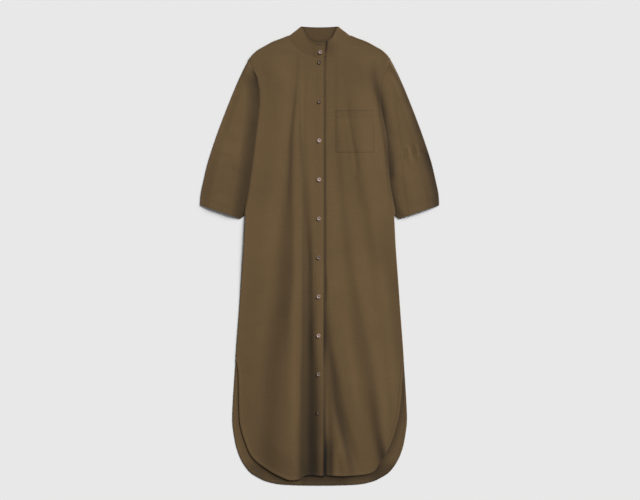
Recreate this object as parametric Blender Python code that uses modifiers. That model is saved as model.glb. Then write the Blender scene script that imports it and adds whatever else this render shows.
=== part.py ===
"""Long shirt dress with a tall stand collar, a button front and deep cuffs, laid flat and face up.

The dress lies on the XY plane. +Y runs to the collar, +Z is off the surface, and the wearer's
right side is at -X. Sizes in the tables are in millimetres. The layers, from the surface up, are
the sleeves, the back, the wearer's left front, the wearer's right front with its band, and the
pocket, the collar and the buttons. Heights are worked out by functions of x and y that all the
panels share, so each layer follows the one under it.
"""
import bpy
import bmesh
import math

MM = 0.001

# ---- driving sizes -------------------------------------------------------------------------
CLOTH = 1.1                  # wall of one layer of poplin, with its seam turnings
COLLAR_WALL = 1.4            # the collar is two layers with interlining
LAYER_GAP = 0.5              # between a layer and the one that it lies on
FRONT_LOFT = 3.2             # air under the fronts, away from the seams
SEAM_REACH = 75.0            # the fronts rise to their full height this far from a seam
SLIT_TOP = -310.0            # y where the side seams end and the slits start
SLIT_LIFT = 2.0              # the fronts' free edges beside the slits stand this much off the back
SLIT_FADE = 90.0
SLEEVE_FLAT = 2.6            # a sleeve pressed flat: two walls and a little air
SLEEVE_LOFT = 3.2            # air in the middle of a sleeve
AIR_STARTS, AIR_RAMP = 6.0, 40.0     # outside the body's edge
OUTER_REACH, INNER_REACH = 34.0, 30.0  # in from a sleeve's two folds
NOSE = 3.0                   # the rounded stretch at a sleeve's fold
NOSE_INSET = 1.4             # the inside of that stretch, from the fold
BODY_RISE = 3.4              # height of the back's underside over a sleeve

BAND_EDGE = 16.5             # the right front ends here, past the centre line
BAND_WIDTH = 30.0
UNDERLAP_EDGE = -15.0        # the left front ends here, under the band
UNDERLAP_DROP = 2.2          # the left front lies this much lower under the right one
UNDERLAP_END = (18.0, 36.0)  # from full drop to none

POCKET_LEFT, POCKET_RIGHT = 48.0, 165.0
POCKET_TOP, POCKET_FOOT = 440.0, 312.5
ON_PANEL_LIFT = 1.7          # a piece sewn on a panel, above the panel's underside

BUTTON_RADIUS = 5.75
BUTTON_THICKNESS = 2.4
BUTTON_GAP = 0.6             # the thread holds a button this far off the band
BUTTON_PITCH = 116.9
FIRST_SPACED_BUTTON = 465.0  # below it the buttons are one pitch apart
SPACED_BUTTONS = 9
TOP_BUTTON = 583.0
COLLAR_BUTTON = 613.0
BUTTON_LINE_TOP, BUTTON_LINE_FOOT = 2.0, -3.0
BUTTON_STEPS = 16

# ---- outlines: (half width, y) for each point, from the centre out or from the top down -------
FRONT_NECK = ((-16.5, 601.0), (20.0, 602.0), (42.0, 608.5), (62.0, 621.0), (81.0, 640.5), (98.4, 662.2))
BACK_NECK = ((0.0, 642.7), (32.0, 644.5), (64.0, 651.0), (98.4, 662.2))
SHOULDER = ((98.4, 662.2), (112.0, 656.0), (140.0, 644.0), (166.5, 632.0), (188.4, 620.0), (206.0, 603.0))
ARMHOLE_AND_SIDE = (
    (206.0, 603.0), (209.5, 597.0), (207.0, 585.0), (199.5, 566.0), (185.5, 536.0), (178.5, 500.0),
    (178.0, 455.0), (182.0, 410.0), (190.0, 350.0), (197.5, 290.0), (205.5, 230.0), (215.0, 170.0),
    (221.7, 128.0), (226.5, 38.0), (231.6, -34.0), (237.0, -106.0), (242.0, -178.0),
    (247.5, -250.0), (251.5, -310.0))
BACK_SLIT = ((251.5, -310.0), (257.0, -394.0), (261.0, -466.0), (260.7, -502.0), (256.0, -538.0))
BACK_HEM = (
    (0.0, -689.2), (60.0, -688.5), (120.0, -685.0), (158.0, -676.0), (178.0, -667.0),
    (204.6, -649.0), (221.0, -631.0), (232.5, -613.0), (241.0, -595.0), (250.0, -568.0), (256.0, -538.0))
RIGHT_SLIT = ((251.5, -310.0), (250.5, -370.0), (247.0, -430.0), (240.0, -496.0))
RIGHT_HEM = (
    (-16.5, -657.0), (25.0, -655.0), (48.0, -658.0), (60.0, -668.0), (88.0, -668.5), (115.0, -664.0),
    (132.0, -652.0), (177.0, -620.0), (208.0, -592.0), (229.0, -529.0), (240.0, -496.0))
LEFT_SLIT = ((251.5, -310.0), (248.0, -370.0), (243.5, -428.0), (237.0, -481.0))
LEFT_HEM = (
    (-15.0, -654.0), (22.0, -656.0), (66.0, -657.7), (108.0, -656.0), (150.0, -650.0), (171.0, -635.0),
    (182.0, -612.0), (197.0, -595.0), (213.6, -559.0), (226.0, -521.0), (237.0, -481.0))

NECK_COLUMNS = 7
SHOULDER_COLUMNS = 10
SIDE_ROWS = 25
SLIT_ROWS = 6

# ---- folds of the fronts: ridges are positive, troughs negative -----------------------------
# x and y at the top, x and y at the foot, sideways bow, half width at the top and foot, height
FRONT_FOLDS = (
    (-74.0, 560.0, -84.0, -680.0, 6.0, 14.0, 30.0, 5.0),
    (-50.0, 430.0, -27.0, -680.0, -4.0, 14.0, 17.0, -3.0),
    (-98.0, 420.0, -152.0, -600.0, 8.0, 18.0, 34.0, -2.4),
    (-168.0, 250.0, -196.0, -560.0, 0.0, 30.0, 40.0, 2.2),
    (2.0, 420.0, 2.0, -690.0, 0.0, 24.0, 22.0, 2.4),
    (50.0, 360.0, 178.0, -640.0, -22.0, 15.0, 24.0, -2.8),
    (20.0, -110.0, 92.0, -670.0, -4.0, 14.0, 19.0, -3.0),
    (66.0, 120.0, 134.0, -680.0, -10.0, 20.0, 26.0, 3.8),
    (48.0, -420.0, 57.0, -680.0, 0.0, 14.0, 16.0, 2.0),
    (99.0, 330.0, 168.0, -80.0, 6.0, 18.0, 22.0, -1.5),
    (176.0, 160.0, 208.0, -520.0, 0.0, 24.0, 34.0, 2.0),
)
FOLD_FADE_IN = 0.22          # share of a fold's length over which it grows
FOLD_START = 0.55            # share of its height that it would have at its top

# ---- sleeves: sections from the armhole to the cuff seam, and from there to the cuff's end ------
# outer fold x, y, inner fold x, y, bow of the section towards the body
SLEEVE_SECTIONS = (
    (192.0, 607.0, 150.0, 395.0, 14.0),
    (214.8, 590.5, 148.0, 372.0, 10.0),
    (243.0, 530.0, 150.0, 340.0, 6.0),
    (273.0, 458.0, 155.0, 314.0, 3.0),
    (300.6, 386.0, 161.0, 288.0, 1.0),
    (322.0, 325.0, 168.0, 268.0, 0.0),
)
CUFF_SECTIONS = (
    (322.2, 324.5, 168.2, 267.5, 0.0),
    (336.3, 278.2, 178.0, 222.0, 0.0),
    (349.0, 224.0, 200.0, 166.0, 0.0),
    (356.4, 188.0, 222.0, 128.0, 0.0),
    (358.5, 153.8, 238.5, 111.8, 0.0),
)
SLEEVE_RINGS = 11
CUFF_RINGS = 7
SLEEVE_ACROSS = 8

# (y, x) of the sleeve's inner fold, where it lies under the body
SLEEVE_INNER = (
    (620.0, 180.0), (607.0, 188.0), (566.0, 183.0), (500.0, 164.0), (455.0, 158.0), (395.0, 146.0),
    (350.0, 148.0), (288.0, 160.0), (230.0, 172.0), (170.0, 196.0), (128.0, 222.0), (112.0, 240.0),
    (95.0, 272.0), (80.0, 310.0))
RISE_RAMP = (50.0, 16.0)     # the back rises from this far inside the sleeve's fold to this far

# ---- collar: a ring of sections from its end on the button band, round the back, to the end under it
# foot x, foot y, foot height, edge x, edge y, edge height
COLLAR_RIGHT_FRONT = (
    (17.0, 602.4, 5.8, 20.5, 643.0, 8.5),
    (-8.0, 602.4, 5.8, -7.0, 643.2, 8.5),
    (-33.0, 606.6, 5.8, -24.0, 651.0, 8.2),
    (-57.0, 618.6, 5.5, -36.0, 666.0, 7.6),
    (-77.0, 637.2, 4.6, -45.0, 680.0, 6.6),
    (-91.0, 654.8, 4.0, -51.0, 687.0, 5.2),
)
COLLAR_BACK = (
    (-98.0, 664.2, 2.6, -54.0, 688.6, 3.0),
    (-90.0, 661.8, 0.8, -50.0, 687.6, 1.0),
    (-60.0, 651.6, 0.7, -34.0, 686.4, 0.7),
    (-30.0, 645.9, 0.7, -17.0, 685.2, 0.7),
    (0.0, 644.0, 0.7, 0.0, 684.8, 0.7),
    (30.0, 645.9, 0.7, 17.0, 685.2, 0.7),
    (60.0, 651.6, 0.7, 34.0, 686.4, 0.7),
    (90.0, 661.8, 0.8, 50.0, 687.6, 1.0),
    (98.0, 664.2, 2.6, 54.0, 688.6, 3.0),
)
COLLAR_LEFT_FRONT = (
    (91.0, 654.8, 4.0, 51.0, 687.0, 5.2),
    (77.0, 637.2, 4.6, 45.0, 680.0, 6.6),
    (57.0, 618.6, 5.5, 36.0, 666.0, 7.4),
    (33.0, 606.6, 5.2, 24.0, 651.0, 7.2),
    (8.0, 602.4, 3.6, 7.0, 642.2, 6.4),
    (-12.0, 602.4, 3.6, -11.0, 641.6, 6.4),
)
COLLAR_COLUMNS = 46
COLLAR_ROWS = 3

DRESS_COLLECTION = "shirt_dress"
CLOTH_COLOUR = (0.138, 0.086, 0.040, 1.0)
BUTTON_COLOUR = (0.30, 0.23, 0.20, 1.0)


# ---- curves and tables ------------------------------------------------------------------------
def smooth(value):
    """0 up to 0, 1 from 1, and a soft ramp between."""
    t = min(1.0, max(0.0, value))
    return t * t * (3.0 - 2.0 * t)


def catmull(before, start, end, after, t):
    """A number on the smooth curve from start to end."""
    return 0.5 * (2.0 * start + (end - before) * t
                  + (2.0 * before - 5.0 * start + 4.0 * end - after) * t * t
                  + (3.0 * start - before - 3.0 * end + after) * t ** 3)


def curve_points(rows, steps):
    """Points along the smooth curve through a table's rows, steps to each stretch."""
    last = len(rows) - 1
    points = []
    for i in range(last):
        before, start, end, after = rows[max(i - 1, 0)], rows[i], rows[i + 1], rows[min(i + 2, last)]
        for k in range(steps):
            points.append(tuple(catmull(*values, k / steps) for values in zip(before, start, end, after)))
    points.append(tuple(rows[last]))
    return points


def evenly(rows, count, steps=12):
    """Count + 1 points, evenly spaced in the plane, along the smooth curve through the rows."""
    fine = curve_points(rows, steps)
    reach = [0.0]
    for near, far in zip(fine, fine[1:]):
        reach.append(reach[-1] + math.hypot(far[0] - near[0], far[1] - near[1]))
    points = []
    k = 0
    for i in range(count):
        wanted = reach[-1] * i / count
        while reach[k + 1] < wanted:
            k += 1
        share = (wanted - reach[k]) / (reach[k + 1] - reach[k])
        points.append(tuple(a + (b - a) * share for a, b in zip(fine[k], fine[k + 1])))
    points.append(fine[-1])
    return points


def along_y(rows, y):
    """The second column of a table whose first column, y, falls from row to row."""
    if y >= rows[0][0]:
        return rows[0][1]
    for (high, first), (low, second) in zip(rows, rows[1:]):
        if y >= low:
            return first + (second - first) * (high - y) / (high - low)
    return rows[-1][1]


SIDE_BY_Y = tuple((y, x) for x, y in ARMHOLE_AND_SIDE[1:] + BACK_SLIT[1:])


def patch(top, bottom, inner, outer):
    """Rows of points in the plane that fill the space between four edges."""
    columns, rows = len(top) - 1, len(inner) - 1
    grid = []
    for j in range(rows + 1):
        v = j / rows
        row = []
        for i in range(columns + 1):
            u = i / columns
            row.append(tuple(
                (1 - v) * top[i][k] + v * bottom[i][k] + (1 - u) * inner[j][k] + u * outer[j][k]
                - (1 - u) * (1 - v) * top[0][k] - u * (1 - v) * top[columns][k]
                - (1 - u) * v * bottom[0][k] - u * v * bottom[columns][k] for k in (0, 1)))
        grid.append(row)
    return grid


# ---- heights ----------------------------------------------------------------------------------
def back_underside(x, y):
    """The back lies on the surface and rises over the sleeves."""
    inner = along_y(SLEEVE_INNER, y)
    start, full = inner - RISE_RAMP[0], inner - RISE_RAMP[1]
    return BODY_RISE * smooth((abs(x) - start) / (full - start))


def seam_distance(x, y):
    """Distance from the shoulder seam, which is the straight line between its ends."""
    (x0, y0), (x1, y1) = SHOULDER[0], SHOULDER[-1]
    run_x, run_y = x1 - x0, y1 - y0
    share = ((abs(x) - x0) * run_x + (y - y0) * run_y) / (run_x ** 2 + run_y ** 2)
    share = min(1.0, max(0.0, share))
    return math.hypot(abs(x) - x0 - share * run_x, y - y0 - share * run_y)


def fold_height(fold, x, y):
    """One soft ridge or trough."""
    top_x, top_y, foot_x, foot_y, bow, top_width, foot_width, height = fold
    t = (top_y - y) / (top_y - foot_y)
    if t <= 0.0:
        return 0.0
    t = min(t, 1.0)
    middle = top_x + (foot_x - top_x) * t + bow * math.sin(math.pi * t)
    width = top_width + (foot_width - top_width) * t
    growth = smooth(t / FOLD_FADE_IN) * (FOLD_START + (1.0 - FOLD_START) * t)
    return height * growth * math.exp(-((x - middle) / width) ** 2)


def front_underside(x, y):
    """The fronts lie on the back at the seams, stand off it between them, and carry the folds."""
    edge = along_y(SIDE_BY_Y, y)
    slit = SLIT_LIFT * smooth((SLIT_TOP - y) / SLIT_FADE)
    inside = smooth((edge - abs(x)) / SEAM_REACH) * smooth(seam_distance(x, y) / SEAM_REACH)
    loft = slit + (FRONT_LOFT - slit) * inside
    folds = sum(fold_height(fold, x, y) for fold in FRONT_FOLDS) * inside
    return back_underside(x, y) + CLOTH + LAYER_GAP + max(0.0, loft + folds)


def left_front_underside(x, y):
    """The left front is lower where the right one lies over it, but never sinks into the back."""
    start, end = UNDERLAP_END
    lowered = front_underside(x, y) - UNDERLAP_DROP * (1.0 - smooth((x - start) / (end - start)))
    return max(lowered, back_underside(x, y) + CLOTH + LAYER_GAP)


def sleeve_top(x, y, from_outer, from_inner):
    """Top of a sleeve: flat under the body, with air between the body's edge and the outer fold."""
    clear = abs(x) - along_y(SIDE_BY_Y, y)
    air = smooth((clear - AIR_STARTS) / AIR_RAMP)
    air *= smooth(from_outer / OUTER_REACH) * smooth(from_inner / INNER_REACH)
    return SLEEVE_FLAT + SLEEVE_LOFT * air


# ---- making pieces ----------------------------------------------------------------------------
def cloth_material(name, colour, roughness):
    """A plain finish in the piece's own colour."""
    material = bpy.data.materials.new(name)
    material.use_nodes = True
    shader = material.node_tree.nodes["Principled BSDF"]
    shader.inputs["Base Color"].default_value = colour
    shader.inputs["Roughness"].default_value = roughness
    shader.inputs["Metallic"].default_value = 0.0
    material.diffuse_color = colour
    return material


def add_piece(name, shape, colour=CLOTH_COLOUR, roughness=0.85):
    """Turn a bmesh into a named object of the dress."""
    mesh = bpy.data.meshes.new(name)
    shape.to_mesh(mesh)
    shape.free()
    mesh.materials.append(cloth_material(name + "_finish", colour, roughness))
    piece = bpy.data.objects.new(name, mesh)
    bpy.data.collections[DRESS_COLLECTION].objects.link(piece)
    return piece


def thicken(piece, wall, offset=1.0, even=True):
    """Give an open sheet its wall."""
    solidify = piece.modifiers.new("wall", "SOLIDIFY")
    solidify.thickness = wall * MM
    solidify.offset = offset
    solidify.use_even_offset = even
    return piece


def sheet_from(points):
    """An open sheet of quads over rows of (x, y, z) points, facing up."""
    sheet = bmesh.new()
    rows = [[sheet.verts.new((x * MM, y * MM, z * MM)) for x, y, z in row] for row in points]
    for near, far in zip(rows, rows[1:]):
        for i in range(len(near) - 1):
            sheet.faces.new((near[i], near[i + 1], far[i + 1], far[i]))
    sheet.normal_update()
    if sum(face.normal.z for face in sheet.faces) < 0.0:
        bmesh.ops.reverse_faces(sheet, faces=sheet.faces[:])
    return sheet


def cut_sheet(sheet, cuts, lift):
    """The part of a sheet inside the cuts, each a point and an outward direction, moved up."""
    for point, outward in cuts:
        everything = sheet.verts[:] + sheet.edges[:] + sheet.faces[:]
        bmesh.ops.bisect_plane(sheet, geom=everything, dist=1e-7, plane_co=[value * MM for value in point],
                               plane_no=outward, clear_outer=True)
    bmesh.ops.translate(sheet, verts=sheet.verts[:], vec=(0.0, 0.0, lift * MM))
    return sheet


def front_points(side, neck_start, slit, hem, underside):
    """Rows of points of one front, whose edge at the centre starts at neck_start."""
    neck = [(neck_start, FRONT_NECK[0][1])] + list(FRONT_NECK[1:])
    top = evenly(neck, NECK_COLUMNS)[:-1] + evenly(SHOULDER, SHOULDER_COLUMNS)
    outer = evenly(ARMHOLE_AND_SIDE, SIDE_ROWS)[:-1] + evenly(slit, SLIT_ROWS)
    bottom = evenly(hem, len(top) - 1)
    rows = len(outer) - 1
    inner = [(top[0][0], top[0][1] + (bottom[0][1] - top[0][1]) * j / rows) for j in range(rows + 1)]
    grid = patch(top, bottom, inner, outer)
    return [[(side * x, y, underside(side * x, y)) for x, y in row] for row in grid]


def back_points():
    """Rows of points of the back, from its left edge to its right."""
    half_top = evenly(BACK_NECK, NECK_COLUMNS)[:-1] + evenly(SHOULDER, SHOULDER_COLUMNS)
    outer = evenly(ARMHOLE_AND_SIDE, SIDE_ROWS)[:-1] + evenly(BACK_SLIT, SLIT_ROWS)
    half_bottom = evenly(BACK_HEM, len(half_top) - 1)
    rows = len(outer) - 1
    inner = [(0.0, half_top[0][1] + (half_bottom[0][1] - half_top[0][1]) * j / rows) for j in range(rows + 1)]
    half = patch(half_top, half_bottom, inner, outer)
    full = [[(-x, y) for x, y in reversed(row[1:])] + row for row in half]
    return [[(x, y, back_underside(x, y)) for x, y in row] for row in full]


def tube_ring(section, side):
    """The outer and inner loops of points round one section of a flattened sleeve."""
    outer_x, outer_y, inner_x, inner_y, bow = section
    width = math.hypot(outer_x - inner_x, outer_y - inner_y)
    towards = ((inner_y - outer_y) / width, -(inner_x - outer_x) / width)
    stops = [NOSE + (width - 2 * NOSE) * i / SLEEVE_ACROSS for i in range(SLEEVE_ACROSS + 1)]

    def place(distance):
        share = distance / width
        bend = bow * math.sin(math.pi * share)
        return (inner_x + (outer_x - inner_x) * share + towards[0] * bend,
                inner_y + (outer_y - inner_y) * share + towards[1] * bend)

    outside, inside = [], []
    for distance in stops:
        x, y = place(distance)
        top = sleeve_top(x, y, width - distance, distance)
        outside.append((side * x, y, top))
        inside.append((side * x, y, top - CLOTH))
    for loop, inset in ((outside, 0.0), (inside, NOSE_INSET)):
        x, y = place(width - inset)
        loop.append((side * x, y, SLEEVE_FLAT / 2))
    for distance in reversed(stops):
        x, y = place(distance)
        outside.append((side * x, y, 0.0))
        inside.append((side * x, y, CLOTH))
    for loop, inset in ((outside, 0.0), (inside, NOSE_INSET)):
        x, y = place(inset)
        loop.append((side * x, y, SLEEVE_FLAT / 2))
    return outside, inside


def flat_tube(sections, rings, side):
    """A flattened tube of cloth, open at both ends, through the sections of a table."""
    stations = curve_points(sections, 8)
    step = (len(stations) - 1) / rings
    shape = bmesh.new()
    skins = ([], [])
    for k in range(rings + 1):
        at = k * step
        low = min(int(at), len(stations) - 2)
        section = [a + (b - a) * (at - low) for a, b in zip(stations[low], stations[low + 1])]
        for skin, loop in zip(skins, tube_ring(section, side)):
            skin.append([shape.verts.new((x * MM, y * MM, z * MM)) for x, y, z in loop])
    count = len(skins[0][0])
    for skin in skins:
        for near, far in zip(skin, skin[1:]):
            for i in range(count):
                shape.faces.new((near[i], near[(i + 1) % count], far[(i + 1) % count], far[i]))
    for end in (0, -1):
        for i in range(count):
            j = (i + 1) % count
            shape.faces.new((skins[0][end][i], skins[0][end][j], skins[1][end][j], skins[1][end][i]))
    bmesh.ops.recalc_face_normals(shape, faces=shape.faces[:])
    return shape


def collar_points():
    """Rows of points of the collar, from foot to edge, round from the upper end to the lower one."""
    sections = COLLAR_RIGHT_FRONT + COLLAR_BACK + COLLAR_LEFT_FRONT
    stations = curve_points(sections, 8)
    step = (len(stations) - 1) / COLLAR_COLUMNS
    columns = []
    for k in range(COLLAR_COLUMNS + 1):
        at = k * step
        low = min(int(at), len(stations) - 2)
        columns.append([a + (b - a) * (at - low) for a, b in zip(stations[low], stations[low + 1])])
    rows = []
    for j in range(COLLAR_ROWS + 1):
        v = j / COLLAR_ROWS
        rows.append([tuple(c[k] + (c[k + 3] - c[k]) * v for k in range(3)) for c in columns])
    return rows


def button(name, x, y, height):
    """A turned four-hole style button: a flat disc with a raised rim and a dished middle."""
    rim, dish, edge = BUTTON_THICKNESS, BUTTON_THICKNESS * 0.62, BUTTON_THICKNESS * 0.5
    radius = BUTTON_RADIUS
    profile = ((0.0, dish), (radius * 0.58, dish), (radius * 0.72, rim), (radius * 0.88, rim),
               (radius, edge), (radius * 0.86, 0.0), (0.0, 0.0))
    shape = bmesh.new()
    verts = [shape.verts.new((r * MM, 0.0, z * MM)) for r, z in profile]
    for near, far in zip(verts, verts[1:]):
        shape.edges.new((near, far))
    piece = add_piece(name, shape, BUTTON_COLOUR, 0.35)
    screw = piece.modifiers.new("turn", "SCREW")
    screw.axis = "Z"
    screw.steps = BUTTON_STEPS
    screw.render_steps = BUTTON_STEPS
    screw.use_merge_vertices = True
    screw.merge_threshold = 0.00005
    piece.location = (x * MM, y * MM, height * MM)
    return piece


# ---- the dress ---------------------------------------------------------------------------------
def build_sleeves():
    """Each sleeve is a flattened tube, and its deep cuff another, sewn to its end."""
    for side, word in ((-1, "right"), (1, "left")):
        add_piece("sleeve_" + word, flat_tube(SLEEVE_SECTIONS, SLEEVE_RINGS, side))
        add_piece("cuff_" + word, flat_tube(CUFF_SECTIONS, CUFF_RINGS, side))


def build_body():
    """The back, the left front with its underlap, and the right front with its button band."""
    thicken(add_piece("back", sheet_from(back_points())), CLOTH)
    left = front_points(1, UNDERLAP_EDGE, LEFT_SLIT, LEFT_HEM, left_front_underside)
    right = front_points(-1, -BAND_EDGE, RIGHT_SLIT, RIGHT_HEM, front_underside)
    thicken(add_piece("front_left", sheet_from(left)), CLOTH)
    thicken(add_piece("front_right", sheet_from(right)), CLOTH)
    band_cut = (((BAND_EDGE - BAND_WIDTH, 0.0, 0.0), (-1.0, 0.0, 0.0)),)
    thicken(add_piece("button_band", cut_sheet(sheet_from(right), band_cut, ON_PANEL_LIFT)), CLOTH)
    pocket_cuts = (
        ((POCKET_LEFT, 0.0, 0.0), (-1.0, 0.0, 0.0)),
        ((POCKET_RIGHT, 0.0, 0.0), (1.0, 0.0, 0.0)),
        ((0.0, POCKET_TOP, 0.0), (0.0, 1.0, 0.0)),
        ((0.0, POCKET_FOOT, 0.0), (0.0, -1.0, 0.0)),
    )
    thicken(add_piece("chest_pocket", cut_sheet(sheet_from(left), pocket_cuts, ON_PANEL_LIFT)), CLOTH)


def build_collar():
    """The stand collar is one ring of doubled cloth whose ends lap at the button band."""
    thicken(add_piece("collar", sheet_from(collar_points())), COLLAR_WALL, offset=0.0, even=False)


def build_buttons():
    """One button on the collar, one just below the neck seam, and the rest one pitch apart."""
    heights = [COLLAR_BUTTON, TOP_BUTTON]
    heights += [FIRST_SPACED_BUTTON - BUTTON_PITCH * i for i in range(SPACED_BUTTONS)]
    top, foot = heights[0], heights[-1]
    for number, y in enumerate(heights, start=1):
        x = BUTTON_LINE_TOP + (BUTTON_LINE_FOOT - BUTTON_LINE_TOP) * (top - y) / (top - foot)
        if y == COLLAR_BUTTON:
            end = COLLAR_RIGHT_FRONT[0]
            share = (y - end[1]) / (end[4] - end[1])
            seat = end[2] + (end[5] - end[2]) * share + COLLAR_WALL / 2
        else:
            seat = front_underside(x, y) + ON_PANEL_LIFT + CLOTH
        button("button_%02d" % number, x, y, seat + BUTTON_GAP)


def main():
    for thing in list(bpy.data.objects):
        bpy.data.objects.remove(thing, do_unlink=True)
    collection = bpy.data.collections.new(DRESS_COLLECTION)
    bpy.context.scene.collection.children.link(collection)
    build_sleeves()
    build_body()
    build_collar()
    build_buttons()


main()
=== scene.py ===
"""Long shirt dress of olive-brown cotton poplin, laid flat and face up, with its seams and buttons.

The dress lies on the XY plane. +Y runs to the collar, +Z is off the surface, and the wearer's right
side is at -X. Outlines and heights are worked out in millimetres, and meshes are made in metres.
"""
import math

import bpy
import numpy as np
from mathutils import Matrix


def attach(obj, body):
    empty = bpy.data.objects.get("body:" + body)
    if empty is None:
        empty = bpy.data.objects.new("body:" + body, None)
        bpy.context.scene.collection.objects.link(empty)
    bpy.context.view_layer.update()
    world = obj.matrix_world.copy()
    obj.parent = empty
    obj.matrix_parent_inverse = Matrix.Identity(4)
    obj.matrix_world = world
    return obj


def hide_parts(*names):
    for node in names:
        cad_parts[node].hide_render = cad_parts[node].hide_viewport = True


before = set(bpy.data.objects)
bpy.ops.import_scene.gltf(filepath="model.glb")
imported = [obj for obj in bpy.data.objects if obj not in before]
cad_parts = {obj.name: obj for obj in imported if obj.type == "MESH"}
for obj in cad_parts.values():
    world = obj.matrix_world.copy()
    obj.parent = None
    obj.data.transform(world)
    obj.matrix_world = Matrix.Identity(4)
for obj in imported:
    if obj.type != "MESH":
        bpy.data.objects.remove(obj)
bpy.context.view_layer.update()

bpy.ops.object.select_all(action="DESELECT")


# ---- The sleeves ------------------------------------------------------------------------------
# Each sleeve is a tube of cotton poplin, set in at the armhole. It is pressed flat with its inner
# half under the body, and a little air lifts the part that shows.
MM = 0.001
WALL = 1.0                    # one layer of poplin with its turnings
SLEEVE_FLAT, SLEEVE_AIR = 2.6, 3.0
SLEEVE_NOSE = 2.0             # the rounded stretch at each of a sleeve's two folds
OUTER_REACH, INNER_REACH = 34.0, 30.0    # the air fades out this far from those folds
TUBE_POINTS = 88              # over the top of a tube; its lower side has about a quarter of them
# out from the body: where the air starts and how far it grows, and its share right at the armhole
AIR_START, AIR_RUN, AIR_AT_SEAM, SEAM_RUN = 8.0, 44.0, 0.86, 2.5
CREASE_START, CREASE_RUN, DEEPEST_CREASE = 2.0, 14.0, -2.0
# the armhole's seam holds the top of the sleeve level with the body from this height up, and a little
# higher near the shoulder
SLEEVE_HEAD, HEAD_RUN, SEAM_LEVEL = 490.0, 80.0, 5.0
SHOULDER_START, SHOULDER_RUN, SHOULDER_LIFT = 530.0, 40.0, 0.6
# outer fold x, y, inner fold x, y, bow of the section towards the body
SLEEVE_SECTIONS = (
    (197.8, 604.6, 142, 396, 14), (213.4, 589.6, 148, 372, 10), (243, 530, 150, 340, 6),
    (273, 458, 155, 314, 3), (300.6, 386, 161, 288, 1), (322, 325, 168, 268, 0))
# half width and y of the body from the shoulder's end down the armhole and the side to the slit
ARMHOLE_AND_SIDE = (
    (203.8, 602), (206.8, 596), (205.8, 585), (199.5, 566), (185.5, 536), (178.5, 500), (178, 455),
    (182, 410), (190, 350), (197.5, 290), (205.5, 230), (215, 170), (221.7, 128), (226.5, 38),
    (231.6, -34), (237, -106), (242, -178), (247.5, -250), (251.5, -310))
BACK_SLIT = ((251.5, -310), (257, -394), (261, -466), (260.7, -502), (256, -538))
LEFT_FULLNESS, FULLEST_Y, FULLNESS_REACH = 8.5, 355.0, 95.0
# start x, y, end x, y, sideways bow, half width left and right of it, height at the start and the end
SLEEVE_CREASES = {
    "right": (
        (-205, 470, -262, 360, 4, 20, 26, 0.5, 1), (-205, 400, -240, 300, -6, 12, 16, -0.8, -0.5),
        (-258, 480, -290, 380, 3, 12, 10, -0.5, -0.8),
        (-250, 262, -292, 176, 5, 24, 26, -0.8, -0.8), (-300, 290, -330, 190, 3, 20, 14, 0.6, 0.6)),
    "left": (
        (226, 552, 318, 334, 0, 20, 7, 0.6, 1.3), (322, 330, 352, 168, 6, 18, 8, 1.2, 0.9),
        (200, 470, 216, 350, -5, 14, 18, 0.8, -0.8), (244, 262, 276, 160, 4, 20, 24, 0.7, 0.8),
        (262, 330, 268, 284, 1, 3.5, 4.5, 0.7, 0.5), (274, 332, 281, 292, -1, 4, 3.5, -0.7, -0.6),
        (286, 336, 292, 292, 1.5, 3.5, 4, 0.8, 0.6), (250, 322, 252, 288, 0, 4, 3.5, -0.6, -0.5),
        (298, 338, 304, 306, 0, 4, 3, -0.5, -0.6))}


def ramp(value):
    """0 up to 0, 1 from 1, and a soft slope between."""
    t = np.clip(value, 0.0, 1.0)
    return t * t * (3.0 - 2.0 * t)


def bell(value):
    """1 at 0, and a soft fall to next to nothing at 2 on either side."""
    return np.exp(-value ** 2)


def reach_along(path):
    """How far along a path each of its points lies, measured in the plane."""
    return np.concatenate(([0.0], np.cumsum(np.hypot(*np.diff(path[:, :2], axis=0).T))))


def smooth_curve(rows, count):
    """Count + 1 points, evenly spaced in the plane, on the smooth curve through the rows."""
    rows = np.array(rows, dtype=float)
    around = np.vstack((rows[:1], rows, rows[-1:]))
    t = np.linspace(0.0, 1.0, 24, endpoint=False)[:, None]
    fine = [0.5 * (2.0 * start + (end - before) * t
                   + (2.0 * before - 5.0 * start + 4.0 * end - after) * t ** 2
                   + (3.0 * start - before - 3.0 * end + after) * t ** 3)
            for before, start, end, after in zip(around, around[1:], around[2:], around[3:])]
    fine = np.vstack(fine + [rows[-1:]])
    reach = reach_along(fine)
    wanted = np.linspace(0.0, reach[-1], count + 1)
    return np.column_stack([np.interp(wanted, reach, column) for column in fine.T])


def at_height(rows, y):
    """The columns after y of a table that runs down the dress, read at each y."""
    rows = np.array(rows)
    return [np.interp(-y, -rows[:, 0], column) for column in rows.T[1:]]


def fuller(x, y):
    """The wearer's left side is a little fuller over its sleeve than the right one."""
    return LEFT_FULLNESS * bell((y - FULLEST_Y) / FULLNESS_REACH) * (x > 0.0)


def side_edge(x, y):
    """Half width of the body at each y, down the armhole, the side and the back's slit."""
    rows = np.array(ARMHOLE_AND_SIDE[1:] + BACK_SLIT[1:])[:, ::-1]
    return at_height(rows, y)[0] + fuller(x, y)


def creases(rows, x, y):
    """Height of soft ridges and troughs, each fading out at its ends."""
    total = np.zeros_like(x)
    for x0, y0, x1, y1, bow, left, right, height, end_height in rows:
        run = math.hypot(x1 - x0, y1 - y0)
        along = ((x - x0) * (x1 - x0) + (y - y0) * (y1 - y0)) / run ** 2
        across = ((y - y0) * (x1 - x0) - (x - x0) * (y1 - y0)) / run
        across = across - bow * np.sin(math.pi * np.clip(along, 0.0, 1.0))
        width = np.where(across > 0.0, right, left)
        fade = ramp(along / 0.25 + 0.5) * ramp((1.0 - along) / 0.25 + 0.5)
        level = height + (end_height - height) * np.clip(along, 0.0, 1.0)
        total += level * fade * bell(across / width)
    return total


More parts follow.
